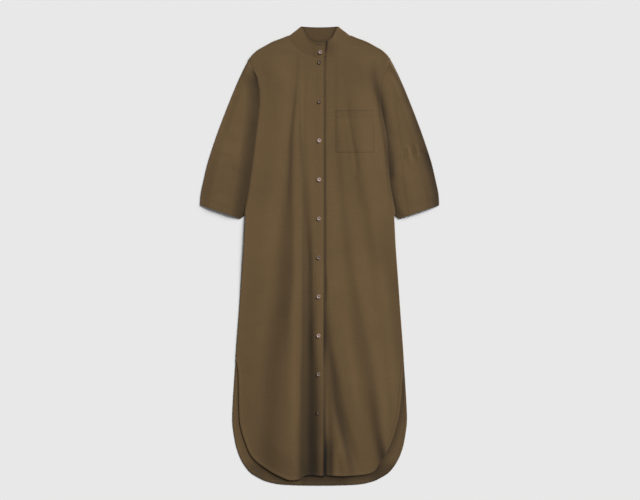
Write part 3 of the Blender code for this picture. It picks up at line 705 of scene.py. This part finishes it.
def front_underside(x, y):
    """The fronts lie on the back at the seams, stand off it between them, and carry the folds."""
    slit = SLIT_LIFT * ramp((SLIT_Y - y) / 90.0)
    inside = ramp((side_edge(x, y) - np.abs(x)) / SEAM_REACH) * ramp(seam_distance(x, y) / SEAM_REACH)
    inside = inside * (0.25 + 0.75 * ramp(distance_to(RIGHT_HEM, np.abs(x), y) / HEM_REACH))
    folds = creases(FRONT_CREASES, x, y)
    lines = [lines_at(rows, y) for rows in FOLD_LINES]
    for (low_x, low), (high_x, high) in zip(lines, lines[1:]):
        folds = folds + (high - low) * ramp((x - low_x) / (high_x - low_x))
    loft = slit + (FRONT_LOFT - slit) * inside + folds * inside
    return BODY_RISE * over_sleeve(x, y, FRONT_SLOPE) + CLOTH + LAYER_GAP + np.maximum(loft, 0.0)


def left_front_underside(x, y):
    """The left front is lower where the right one lies over it, but never sinks into the back."""
    drop = UNDERLAP_DROP * np.exp(-np.maximum(x - 16.0, 0.0) / UNDERLAP_REACH)
    return np.maximum(front_underside(x, y) - drop, back_underside(x, y) + CLOTH + LAYER_GAP)


def painted_length_shade(y):
    return at_height(PAINTED_LENGTH_SHADE, y)[0]


# painted shade of the folds and down the length of the fronts
def front_tone(x, y):
    return painted_shade_along_lines(FOLD_TONES, x, y) * painted_length_shade(y)


# the left front also takes the painted shadow beside the band's free edge and at the collar's foot
def left_front_tone(x, y):
    return front_tone(x, y) * painted_shade_along_lines(GAP_TONES, x, y)


def moved_in(path, distance, side=1.0):
    """A path in the plane moved sideways: to its left where side is 1, to its right where it is -1."""
    along = np.gradient(path, axis=0)
    along /= np.hypot(*along.T)[:, None]
    return path + side * distance * np.column_stack((-along[:, 1], along[:, 0]))


def on_top(path, top_of, lift=0.08):
    """Points just above the cloth along a path in the plane."""
    return np.column_stack((path, top_of(path[:, 0], path[:, 1]) + lift))


def strip(name, path, profile, top_of, tone_of, side):
    """A sewn edge along a path: its profile follows the cloth, with uneven puckers where it is high,
    and it takes the cloth's painted shade times each row's share.
    """
    reach = reach_along(path)
    puckers = (np.sin(reach / 1.9 + 1.4 * np.sin(reach / 8.3))
               + 0.7 * np.sin(reach / 3.7 + 2.0 * np.sin(reach / 19.0)))
    rows, tones = [], []
    for distance, height, share in profile:
        place = moved_in(path, distance, side)
        rows.append(on_top(place, top_of, height + PUCKER * max(height, 0.0) * puckers))
        tones.append(share * tone_of(place[:, 0], place[:, 1]))
    edge = give_wall(sheet_of(name, np.array(rows)), 0.3)
    store_shade(edge, tones)
    return edge


def side_path(slit, hem, side, spacing=2.5):
    """Points down a panel's slit and along its hem to the middle."""
    down = smooth_curve(slit, int(190.0 / spacing))
    along = smooth_curve(hem[::-1], int(360.0 / spacing))
    return np.vstack((down[:-1], along)) * (side, 1.0)


for side, word, start, slit, hem, underside, tone in (
        (1, "left", UNDERLAP_EDGE, LEFT_SLIT, LEFT_HEM, left_front_underside, left_front_tone),
        (-1, "right", -BAND_EDGE, RIGHT_SLIT, RIGHT_HEM, front_underside, front_tone)):
    def top(x, y):
        return underside(x, y) + WALL

    # painted shade on the armhole's edge where it passes over the sleeve
    def sewn_tone(x, y):
        beyond = ramp((np.abs(x) - side_edge(x, y) + 1.0) / 4.0)
        return tone(x, y) * (1.0 - at_height(ARMHOLE_LOSS[word], y)[0] * beyond)

    grid = panel_grid(((start, NECK_Y),) + FRONT_NECK, slit, hem, 6, 8, side)
    grid = grid[::-1] if side > 0 else grid[::-1, ::-1]
    front = sheet_over("cloth_front_" + word, grid[..., 0], grid[..., 1], top)
    set_shade(front, tone)
    finish_cloth(front, "front_" + word, poplin("front_poplin_" + word))
    cloth = front.data.materials[0]

    hem_path = side_path(slit, hem, side)
    seam = np.vstack((smooth_curve(SHOULDER, 50)[:-1], smooth_curve(ARMHOLE_AND_SIDE, 370)))
    seam = seam * (side, 1.0)
    seam[:, 0] += fuller(seam[:, 0], seam[:, 1])
    sleeve_seam = seam[(seam[:, 1] < ARMHOLE_TOP) & (seam[:, 1] > ARMHOLE_FOOT)]
    armhole = seam[(seam[:, 1] < ARMHOLE_TOP + 3.0) & (seam[:, 1] > ARMHOLE_FOOT + 6.0)]
    for place, path, profile, tone_of in (("hem_front_", hem_path, HEM_PROFILE, tone),
                                          ("seam_side_", seam, SEAM_PROFILE, tone),
                                          ("seam_armhole_", sleeve_seam, ARMHOLE_PROFILE, sewn_tone)):
        edge = strip(place + word, path, profile, top, tone_of, -side)
        finish_cloth(edge, None, cloth)
    for place, path, distance, lift in (("hem", hem_path, HEM_STITCHES, HEM_LIFT),
                                        ("shoulder", seam[:50], EDGE_STITCHES, 0.12),
                                        ("armhole", armhole, 6.0, 0.08)):
        row = on_top(moved_in(path, distance, -side), top, lift)
        stitch_row("stitches_%s_%s" % (place, word), row, tone)

# the back's inside shows below and beside the fronts' hems, with their shade painted on it
FRONT_EDGES = np.vstack((side_path(RIGHT_SLIT, RIGHT_HEM, -1, 9.0),
                         side_path(LEFT_SLIT, LEFT_HEM, 1, 9.0)[::-1]))


def back_tone(x, y):
    """Painted shade: darker close to the fronts' edges, at the tail's foot and in its two corners."""
    middle = ramp((x + 60.0) / 12.0) * ramp((112.0 - x) / 56.0)
    left = ramp((x - 20.0) / 120.0)
    right_foot = ramp((-50.0 - x) / 60.0) * ramp((-600.0 - y) / 40.0)
    near = bell(distance_to(FRONT_EDGES, x, y) / (15.0 + 5.0 * middle))
    near = near * (0.08 + 0.36 * middle + 0.34 * left + 0.30 * right_foot)
    foot = ramp((-610.0 - y) / 60.0) * (1.0 + 0.5 * middle)
    corners = 0.36 * ramp((x - 140.0) / 34.0) + 0.20 * ramp((-150.0 - x) / 30.0)
    corners = corners * ramp((-604.0 - y) / 30.0)
    return painted_length_shade(y) * (0.97 - near) * (1.0 - 0.26 * foot) * (1.0 - corners)


set_shade(back, back_tone)
half_path = side_path(BACK_SLIT, BACK_HEM, -1)
back_path = np.vstack((half_path, half_path[-2::-1] * (-1.0, 1.0)))
back_hem = strip("hem_back", back_path, HEM_PROFILE, back_top, back_tone, 1.0)
finish_cloth(back_hem, None, back.data.materials[0])
back_row = on_top(moved_in(back_path, HEM_STITCHES), back_top, HEM_LIFT)
back_stitches = stitch_row("stitches_hem_back", back_row, back_tone)


# ---- The button band --------------------------------------------------------------------------
# The band is a folded strip of poplin, stitched down both its edges along the right front. It takes
# the buttonholes, and is worked over with dense thread round each of them.
BAND_WIDTH, BAND_LIFT, BAND_HEAD, STITCHED_DOWN_TO = 30.0, 0.7, 601.5, -651.0
EDGE_ROUND, EDGE_FALL = 1.3, 0.6    # a folded edge rounds down over this width, by this much
# y, loss of tone of the painted shadow along the band's free edge itself, and its reach
BAND_EDGE_LOSS = (
    (620, 0.42, 1.9), (544, 0.46, 1.9), (380, 0.58, 1.9), (94, 0.58, 1.9), (-86, 0.66, 2),
    (-161, 0.8, 2.1), (-251, 0.94, 3.3), (-341, 0.56, 2.3), (-431, 0.56, 2.3), (-521, 0.8, 3),
    (-566, 0.95, 3), (-596, 1, 3.8), (-640, 1, 4.8), (-700, 1, 4.8))


def rounded_lift(lift, inset):
    """The lift of a folded cloth's edge, which rounds down at its end."""
    share = np.clip(inset / EDGE_ROUND, 0.0, 1.0)
    return lift - EDGE_FALL * (1.0 - np.sqrt(1.0 - (1.0 - share) ** 2))


def band_top(x, y):
    from_inner = BAND_LIFT * ramp((x - BAND_EDGE + BAND_WIDTH + 1.0) / 16.0)
    return front_underside(x, y) + WALL + rounded_lift(from_inner, np.maximum(BAND_EDGE - x, 0.0))


def band_tone(x, y):
    """Painted shade: the band is as dark as the fold beside it, and darkest along its free edge and low
    down; a painted highlight lightens it beside its inner edge.
    """
    loss, reach = at_height(BAND_EDGE_LOSS, y)
    edge = 1.0 - loss * bell(np.maximum(BAND_EDGE - 1.0 - x, 0.0) / reach)
    low = 1.0 - 0.08 * ramp((-260.0 - y) / 120.0) * ramp((9.0 - x) / 10.0)
    low *= 1.0 - 0.17 * bell((y + 505.0) / 75.0) * ramp((x + 14.0) / 8.0)
    inner = 1.0 + 0.10 * bell((x + 12.0) / 4.0) * ramp((y + 60.0) / 80.0)
    return front_tone(x, y) * edge * low * inner


# columns of points stand closer together towards the band's two edges
rims = np.array((0.0, 0.25, 0.7, EDGE_ROUND, 2.6, 5.0, 8.0, 11.5))
columns = BAND_EDGE - BAND_WIDTH + np.concatenate((rims, (BAND_WIDTH / 2.0,), BAND_WIDTH - rims[::-1]))
hem_rows = smooth_curve(RIGHT_HEM, 200)
feet = np.interp(columns, -hem_rows[::-1, 0], hem_rows[::-1, 1])[None]
y = feet + (BAND_HEAD - feet) * np.linspace(0.0, 1.0, 420)[:, None]
band = sheet_over("cloth_button_band", np.broadcast_to(columns, y.shape), y, band_top)
set_shade(band, band_tone)
finish_cloth(band, "button_band", poplin("band_poplin"))
for place, inset in (("free_edge", EDGE_STITCHES), ("inner_edge", BAND_WIDTH - EDGE_STITCHES)):
    down = np.linspace((BAND_EDGE - inset, BAND_HEAD - 1.0), (BAND_EDGE - inset, STITCHED_DOWN_TO), 500)
    stitch_row("stitches_band_" + place, on_top(down, band_top), band_tone)


# ---- The chest pocket -------------------------------------------------------------------------
# The patch pocket on the wearer's left chest has a wide hem along its mouth and is stitched down
# on its other three sides.
POCKET_LEFT, POCKET_RIGHT, POCKET_TOP, POCKET_FOOT = 48.0, 165.0, 440.0, 312.5
POCKET_LIFT, POCKET_HEM = 0.35, 22.0
MOUTH_GAPE, GAPE_REACH, GAPE_RUN = 0.9, 14.0, 30.0    # height, how far down, and in from the sides
# losses of tone of the painted shade in the pocket's mouth, along its left rim and down its right side
MOUTH_LOSS, RIM_LOSS, SIDE_LOSS = 0.40, 0.06, 0.26


def pocket_top(x, y):
    sides = np.minimum(x - POCKET_LEFT, POCKET_RIGHT - x)
    inset = np.minimum(sides, np.minimum(y - POCKET_FOOT, POCKET_TOP - y))
    gape = MOUTH_GAPE * bell((POCKET_TOP - y) / GAPE_REACH) * ramp(sides / GAPE_RUN)
    return left_front_underside(x, y) + WALL + rounded_lift(POCKET_LIFT, np.maximum(inset, 0.0)) + gape


def pocket_tone(x, y):
    """Painted shade: the pocket's mouth and sides are a little darker along their edges."""
    mouth = 1.0 - MOUTH_LOSS * bell((POCKET_TOP - y) / 2.8) * ramp((POCKET_RIGHT - x + 4.0) / 14.0)
    sides = 1.0 - RIM_LOSS * bell((x - POCKET_LEFT - 2.0) / 5.0)
    sides -= SIDE_LOSS * bell((x - POCKET_RIGHT) / 3.0) * ramp((405.0 - y) / 24.0)
    return front_tone(x, y) * mouth * sides


def between_rims(start, end, count):
    """Places from start to end, evenly spaced but for the rounded rims."""
    size = end - start
    return start + np.concatenate((rims[:4], np.linspace(2.0, size - 2.0, count), size - rims[3::-1]))


across, up = between_rims(POCKET_LEFT, POCKET_RIGHT, 58), between_rims(POCKET_FOOT, POCKET_TOP, 62)
x, y = np.meshgrid(across, up)
pocket = sheet_over("cloth_chest_pocket", x, y, pocket_top)
set_shade(pocket, pocket_tone)
finish_cloth(pocket, "chest_pocket", poplin("pocket_poplin"))
for place, inset in (("edge", 2.0), ("inner", 7.5)):
    left, right = POCKET_LEFT + inset, POCKET_RIGHT - inset
    foot, head = POCKET_FOOT + inset, POCKET_TOP - 1.0
    corners = np.array(((left, head), (left, foot), (right, foot), (right, head)))
    run = [np.linspace(start, end, 60)[:-1] for start, end in zip(corners, corners[1:])]
    run = np.vstack(run + [corners[-1:]])
    stitch_row("stitches_pocket_" + place, on_top(run, pocket_top), pocket_tone)
hem_y = POCKET_TOP - POCKET_HEM
mouth = np.linspace((POCKET_LEFT + 2.0, hem_y), (POCKET_RIGHT - 2.0, hem_y), 60)
stitch_row("stitches_pocket_mouth", on_top(mouth, pocket_top), pocket_tone)


# ---- The collar -------------------------------------------------------------------------------
# The tall stand collar is a ring of doubled poplin with interlining, sewn round the neck, whose
# ends lap at the band.
COLLAR_WALL = 1.2
# foot x, y, edge x, y, and the height of the edge on the wearer's right front and on the left one
COLLAR_FRONT = (
    (20, 602.6, 13, 644, 8, 6.4), (42, 609, 26, 648.5, 7.2, 6.3), (61.5, 621.6, 37.5, 657.5, 6.2, 5.8),
    (79.4, 641.2, 45, 672, 4.9, 4.8), (91.6, 657.4, 52.5, 688, 3.6, 3.6))
# foot x, y, height of the foot (above the front for the two ends), edge x, y, height of the edge
COLLAR_RIGHT_END = ((15.6, 601.8, 0.6, 19.6, 643, 8.2), (-8, 602, 0.6, -8, 643.2, 8.2))
COLLAR_LEFT_END = ((-12, 602.4, 0, -11, 641.6, 6.2),)
# the back's half, from the shoulder to the middle
COLLAR_BACK = (
    (94.2, 659.6, 2, 56, 689.8, 2.2), (88.6, 660, 0.8, 51, 690.2, 0.9), (60, 651.6, 0.7, 34, 689, 0.7),
    (30, 645.9, 0.7, 17, 688.2, 0.7), (0, 644, 0.7, 0, 688, 0.7))
COLLAR_STEPS = 280            # round the ring, from its right end to its left one


def seated(rows, underside):
    """The collar's rows with the heights of their feet measured from the surface."""
    places = np.array(rows)
    places[:, 2] += underside(places[:, 0], places[:, 1]) + WALL - COLLAR_WALL / 2.0
    return places


def collar_tone(x, y, from_edge, station, edge_height):
    """Painted shade: dark inside, a little darker below the front edge outside, and darkest where the
    ends lap.

    The station is the share of the way round the ring, and the back is where the edge lies low."""
    inside = (0.64 - 0.16 * bell(from_edge / 7.0)) * (1.0 - 0.40 * bell((689.0 - y) / 2.4))
    inside *= 1.0 - 0.14 * ramp((x - 40.0) / 16.0)
    outside = 0.90 - 0.02 * ramp((x - 20.0) / 12.0)
    outside *= 1.0 - 0.24 * bell(from_edge / 8.0) * ramp((46.0 - np.abs(x)) / 24.0)
    outside *= 1.0 - 0.14 * bell((x - 27.0) / 22.0) * bell((y - 632.0) / 15.0)
    lap = bell((x - 17.0 - 0.1 * (y - 602.0)) / 3.0) * ramp((y - 598.0) / 24.0) * (station > 0.6)
    outside *= (1.0 - 0.84 * lap) * (1.0 - 0.4 * bell(station / 0.005))
    return outside + (inside - outside) * ramp((2.9 - edge_height) / 1.2)


right_front, left_front = ([(side * row[0], row[1], 0.0, side * row[2], row[3], row[height])
                            for row in COLLAR_FRONT] for side, height in ((-1, 4), (1, 5)))
half_back = np.array(COLLAR_BACK)
stations = smooth_curve(np.vstack((
    seated(COLLAR_RIGHT_END + tuple(right_front), front_underside),
    half_back * (-1, 1, 1, -1, 1, 1), half_back[-2::-1],
    seated(tuple(left_front[::-1]) + COLLAR_LEFT_END, left_front_underside))), COLLAR_STEPS)
foot, edge = stations[:, :3], stations[:, 3:]
points = foot + (edge - foot) * np.linspace(0.0, 1.0, 25)[:, None, None]
collar = give_wall(sheet_of("cloth_collar", points), COLLAR_WALL, offset=0.0)
x, y = points[..., 0], points[..., 1]
front_edge = edge[edge[:, 2] > 3.0][:, :2]
from_edge = distance_to(front_edge[np.argsort(front_edge[:, 0])], x, y)
store_shade(collar, collar_tone(x, y, from_edge, np.arange(len(edge)) / COLLAR_STEPS, edge[:, 2]))
finish_cloth(collar, "collar", poplin("collar_poplin"))
# the collar's stitches take an even painted shade, as dark as the collar's outside
for word, row in (("foot", 1), ("edge", 23)):
    for part, run in (("right", slice(2, 108)), ("left", slice(176, 240))):
        line = points[row, run] + (0.0, 0.0, COLLAR_WALL / 2.0 + 0.08)
        stitch_row("stitches_collar_%s_%s" % (word, part), line, lambda x, y: 0.9)
# the neck seam is pressed open, and covers the join of the collar with the fronts: distance out
# from the collar's foot, and height
NECK_SEAM = ((-3.0, -0.02), (-1.2, 0.04), (0.3, 0.075), (1.6, 0.13), (3.2, 0.16))
for part, run, tone in (("right", slice(0, 100), front_tone),
                        ("left", slice(184, 262), left_front_tone)):
    lift = foot[run, 2] + COLLAR_WALL / 2.0
    rows = [np.column_stack((moved_in(foot[run, :2], distance, -1.0), lift + height))
            for distance, height in NECK_SEAM]
    tape = give_wall(sheet_of("seam_neck_" + part, np.array(rows)), 0.2)
    # the tape takes the painted shade of the front under it
    set_shade(tape, lambda x, y: 0.99 * tone(x, y))
    finish_cloth(tape, None, collar.data.materials[0])


# ---- The buttonholes and tacks ----------------------------------------------------------------
# Ten upright buttonholes run down the band and an open one lies across the collar. Each is a slit
# worked round with close stitches, and short bars of the same stitches hold the pocket and the slits.
HOLE_LENGTH, HOLE_STITCH, WORKED_PITCH, WORKED_THREAD, BAR_THREAD = 14.5, 1.5, 0.4, 0.24, 0.26
# each button's shift along x and y, which its thread allows, its turn in degrees and its share of
# pale horn, from the collar down; a low share stands partly for dark horn and partly for painted shade
BUTTON_ROWS = (
    (0, 0, 8, 0.6), (-1.4, 0, -31, 0.05), (-1.6, 0, 52, 0.12), (-2, 0, 17, 1), (-2, 0, -12, 1),
    (-2, 0, 38, 0.66), (-2, 0, -48, 0.26), (-2, 0, 24, 0.68), (-1.6, 0, -5, 0.84), (-1, 1.5, 61, 0.3),
    (-0.5, 3.5, -22, 0))


def joined(name, pieces):
    bpy.ops.object.select_all(action="DESELECT")
    for piece in pieces:
        piece.select_set(True)
    bpy.context.view_layer.objects.active = pieces[0]
    bpy.ops.object.join()
    bpy.ops.object.shade_smooth()
    return named(pieces[0], name)


def worked_hole(name, opening):
    """A slit along Y, worked down both sides and barred at its ends; its opening is a thin sheet painted
    nearly black as the shadow down in the slit.
    """
    half = HOLE_LENGTH / 2.0
    parts = []
    for side in (-1.0, 1.0):
        stitch = spindle(HOLE_STITCH, WORKED_THREAD, side * (opening + HOLE_STITCH) / 2.0, -half)
        parts.append(repeated(stitch, int(HOLE_LENGTH / WORKED_PITCH), 0.0, WORKED_PITCH))
        bar = spindle(opening + 2.0 * HOLE_STITCH, BAR_THREAD, 0.0, side * half - 0.6)
        parts.append(repeated(bar, 4, 0.0, WORKED_PITCH))
    spread = np.linspace(-half, half, 15)
    width = (opening / 2.0 + 0.3) * np.sqrt(np.clip(1.0 - (spread / (half + 0.4)) ** 2, 0.0, 1.0))
    lens = [np.column_stack((width * share, spread, 0.0 * spread)) for share in (-1.0, -0.5, 0.5, 1.0)]
    parts.append(give_wall(sheet_of(name + "_slit", np.array(lens)), 0.06))
    hole = joined(name, parts)

    # painted shadow: the opening's sheet keeps a tenth of the tone
    def depth(x, y):
        return 1.0 - 0.9 * (np.abs(x) < opening / 2.0 + 0.02) * (np.abs(y) < half - 0.7)
    set_shade(hole, depth)
    return hole


def placed(pattern, name, x, y, top_of, turn=0.0, tone=1.0):
    """A copy of a pattern with a mesh of its own, turned, moved to its place and laid on the cloth."""
    piece = pattern.copy()
    piece.data = pattern.data.copy()
    named(piece, name)
    bpy.context.scene.collection.objects.link(piece)
    turned = Matrix.Rotation(math.radians(turn), 4, "Z")
    piece.data.transform(Matrix.Translation((x * MM, y * MM, 0.0)) @ turned)
    places = points_of(piece)
    places[:, 2] += top_of(places[:, 0], places[:, 1])
    piece.data.vertices.foreach_set("co", (places * MM).ravel())
    tones = np.empty(len(places), dtype=np.float32)
    piece.data.attributes["shade"].data.foreach_get("value", tones)
    piece.data.attributes["shade"].data.foreach_set("value", tones * tone)
    return piece


def collar_top(x, y):
    """Height of the outside of the collar's right end."""
    _, foot_y, lift, _, edge_y, edge_z = COLLAR_RIGHT_END[0]
    foot_z = lift + front_underside(x, foot_y + 0.0 * y) + WALL - COLLAR_WALL / 2.0
    return foot_z + (edge_z - foot_z) * (y - foot_y) / (edge_y - foot_y) + COLLAR_WALL / 2.0


def just_over(top_of):
    """A little higher than the cloth, so that a worked hole doesn't sink in."""
    return lambda x, y: top_of(x, y) + 0.02


seats = []
for number, (shift_x, shift_y, turn, pale) in enumerate(BUTTON_ROWS, 1):
    name = "button_%02d" % number
    spots = np.array([corner.co for corner in bpy.data.objects[name].data.vertices]) / MM
    x, y, _ = (spots.min(axis=0) + spots.max(axis=0)) / 2.0
    seats.append((name, x + shift_x, y + shift_y, turn, pale))
closed_hole, open_hole = worked_hole("closed_hole", 0.5), worked_hole("open_hole", 2.4)
for name, x, y, _, _ in seats[1:]:
    # each hole's stitches take the band's painted shade just below it
    tone = float(band_tone(np.array([x]), np.array([y - 9.0]))[0])
    name = name.replace("button", "buttonhole")
    hole = placed(closed_hole, name, x, y - 2.0, just_over(band_top), tone=tone)
    finish_cloth(hole, None, cotton_thread)
hole = placed(open_hole, "buttonhole_collar", 0.6, 636.4, just_over(collar_top), 92.0)
finish_cloth(hole, None, cotton_thread)
bar = repeated(spindle(2.2, BAR_THREAD, 0.0, -3.0), 16, 0.0, WORKED_PITCH)
bpy.ops.object.shade_smooth()
store_shade(bar, 0.92)
for word, x, y, top_of in (
        ("pocket_inner", POCKET_LEFT + 4.7, POCKET_TOP - 2.4, pocket_top),
        ("pocket_outer", POCKET_RIGHT - 4.7, POCKET_TOP - 2.4, pocket_top),
        ("slit_right", -248.5, SLIT_Y - 1.0, lambda x, y: front_underside(x, y) + WALL),
        ("slit_left", 248.5, SLIT_Y - 1.0, lambda x, y: left_front_underside(x, y) + WALL)):
    finish_cloth(placed(bar, "bar_tack_" + word, x, y, top_of, 90.0), None, cotton_thread)
for pattern in (closed_hole, open_hole, bar):
    bpy.data.objects.remove(pattern)


# ---- The buttons ------------------------------------------------------------------------------
# Eleven four-hole shirt buttons of pale horn, each with a raised rim round a sunk middle, and held by
# two bars of thread. One button is modelled, and the rest are copies with slight turns of their own.
BUTTON_RADIUS, BUTTON_THICKNESS, HOLE_RADIUS, HOLE_OFFSET = 5.6, 1.7, 0.85, 1.3
HALF_BUTTON = BUTTON_THICKNESS / 2.0
STRAND_RADIUS, STRAND_PITCH, SEAT_GAP = 0.19, 0.33, 0.15


def chosen_face(piece, height):
    """Enter edit mode with the one flat end of the button at this height selected."""
    bpy.ops.object.mode_set(mode="EDIT")
    bpy.ops.mesh.select_mode(type="FACE")
    bpy.ops.mesh.select_all(action="DESELECT")
    bpy.ops.object.mode_set(mode="OBJECT")
    for face in piece.data.polygons:
        face.select = abs(face.center.z - height * MM) < 0.01 * MM
    bpy.ops.object.mode_set(mode="EDIT")


bpy.ops.object.select_all(action="DESELECT")
bpy.ops.mesh.primitive_cylinder_add(vertices=40, radius=BUTTON_RADIUS * MM, depth=BUTTON_THICKNESS * MM)
disc = bpy.context.object
chosen_face(disc, HALF_BUTTON)
for inset, depth in ((1.25, 0.0), (0.7, -0.6), (0.5, -0.1)):
    bpy.ops.mesh.inset(thickness=inset * MM, depth=depth * MM)
chosen_face(disc, -HALF_BUTTON)
bpy.ops.mesh.inset(thickness=1.1 * MM, depth=0.35 * MM)
bpy.ops.object.mode_set(mode="OBJECT")
bevel = disc.modifiers.new("bevel", "BEVEL")
bevel.width = 0.4 * MM
bevel.segments = 3
bevel.limit_method = "ANGLE"
bevel.angle_limit = math.radians(40.0)
bpy.ops.object.modifier_apply(modifier="bevel")
for x, y in ((-1, -1), (1, -1), (-1, 1), (1, 1)):
    bpy.ops.mesh.primitive_cylinder_add(vertices=16, radius=HOLE_RADIUS * MM, depth=6.0 * MM,
                                        location=(x * HOLE_OFFSET * MM, y * HOLE_OFFSET * MM, 0.0))
    drill = bpy.context.object
    bpy.context.view_layer.objects.active = disc
    hole = disc.modifiers.new("hole", "BOOLEAN")
    hole.operation = "DIFFERENCE"
    hole.object = drill
    bpy.ops.object.modifier_apply(modifier="hole")
    bpy.data.objects.remove(drill)
disc.select_set(True)
bpy.ops.object.shade_smooth_by_angle(angle=math.radians(35.0))
store_shade(disc, 1.0)

strands = []
for row in (-1.0, 1.0):
    for across in (-STRAND_PITCH, 0.0, STRAND_PITCH):
        bridge = HALF_BUTTON - 0.2
        half = [(0.4, -HALF_BUTTON - 1.0), (1.25, -0.8), (1.28, HALF_BUTTON - 0.7), (1.0, bridge - 0.12),
                (0.45, bridge + 0.06 * (across == 0.0))]
        y = row * HOLE_OFFSET + across
        path = [(side * x, y, z) for side, run in ((-1.0, half), (1.0, half[::-1])) for x, z in run]
        strand = line_through("strand", np.array(path) * MM)
        strand.data.bevel_depth = STRAND_RADIUS * MM
        strand.data.bevel_resolution = 1
        bpy.ops.object.select_all(action="DESELECT")
        strand.select_set(True)
        bpy.context.view_layer.objects.active = strand
        bpy.ops.object.convert(target="MESH")
        strands.append(strand)
strand_bars = joined("strand_bars", strands)
store_shade(strand_bars, 1.0)

horn, tree, shader = new_material("pale_horn")
cloud = {"Vector": add_node(tree, "TexCoord", {}).outputs["Object"], "Scale": 260.0, "Detail": 4.0,
         "Distortion": 1.5}
clouds = add_node(tree, "TexNoise", cloud).outputs["Fac"]
horn_colour = mixed(tree, clouds, (0.52, 0.40, 0.375, 1.0), (0.38, 0.275, 0.245, 1.0))
# the mix towards dark brown is partly dark horn and partly painted shade on the duller buttons
horn_and_shade_share = add_node(tree, "Attribute", {}, attribute_name="shade").outputs["Fac"]
horn_and_painted_shade = mixed(tree, horn_and_shade_share, (0.080, 0.048, 0.024, 1.0), horn_colour)
set_inputs(tree, shader, {"Base Color": horn_and_painted_shade, "Roughness": 0.38})
for name, x, y, turn, pale in seats:
    rim_x, rim_y = x + 4.5 * np.array((-1, 0, 1, 0, 0)), y + 4.5 * np.array((0, -1, 0, 1, 0))
    cloth_top = collar_top if name == "button_01" else band_top
    seat = cloth_top(rim_x, rim_y).max() + SEAT_GAP + HALF_BUTTON
    button = placed(disc, "horn_" + name, x, y, lambda x, y: seat, turn, pale)
    button.data.materials.append(horn)
    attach(button, "root")
    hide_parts(name)
    name = name.replace("button", "button_thread")
    thread = placed(strand_bars, name, x, y, lambda x, y: seat, turn)
    finish_cloth(thread, None, cotton_thread)
for pattern in (disc, strand_bars):
    bpy.data.objects.remove(pattern)


# ---- The stage --------------------------------------------------------------------------------
# A plain pale floor, one large soft light from the upper right, and a camera straight above.
SUN_STRENGTH, SUN_SPREAD, SUN_TURN, SUN_LEAN = 5.6, 34.0, -42.0, -63.0    # the last three in degrees
ROOM_LIGHT = 0.2
CAMERA_PLACE, FRAME_WIDTH, SENSOR_WIDTH = (0.001, 0.02025, 4.0), 1.92, 36.0

bpy.ops.object.select_all(action="DESELECT")
bpy.ops.mesh.primitive_plane_add(size=14.0, location=(0.0, 0.0, -0.0002))
floor = bpy.context.object
floor.name = "floor"
floor_finish, tree, shader = new_material("pale_floor")
set_inputs(tree, shader, {
    "Base Color": (0.80, 0.80, 0.80, 1.0), "Roughness": 0.95, "Specular IOR Level": 0.0})
floor.data.materials.append(floor_finish)

light_data = bpy.data.lights.new("window_light", "SUN")
light_data.energy = SUN_STRENGTH
light_data.angle = math.radians(SUN_SPREAD)
light = bpy.data.objects.new("window_light", light_data)
bpy.context.scene.collection.objects.link(light)
lean = Matrix.Rotation(math.radians(SUN_LEAN), 3, "X")
light.rotation_euler = (Matrix.Rotation(math.radians(SUN_TURN), 3, "Z") @ lean).to_euler()

world = bpy.data.worlds.new("soft_room")
bpy.context.scene.world = world
world.use_nodes = True
background = world.node_tree.nodes["Background"]
background.inputs["Color"].default_value = (1.0, 1.0, 1.0, 1.0)
background.inputs["Strength"].default_value = ROOM_LIGHT
bpy.context.scene.view_settings.view_transform = "Standard"

camera_data = bpy.data.cameras.new("camera")
camera = bpy.data.objects.new("camera", camera_data)
bpy.context.scene.collection.objects.link(camera)
camera.location = CAMERA_PLACE
camera_data.sensor_width = SENSOR_WIDTH
camera_data.lens = SENSOR_WIDTH * CAMERA_PLACE[2] / FRAME_WIDTH
bpy.context.scene.camera = camera
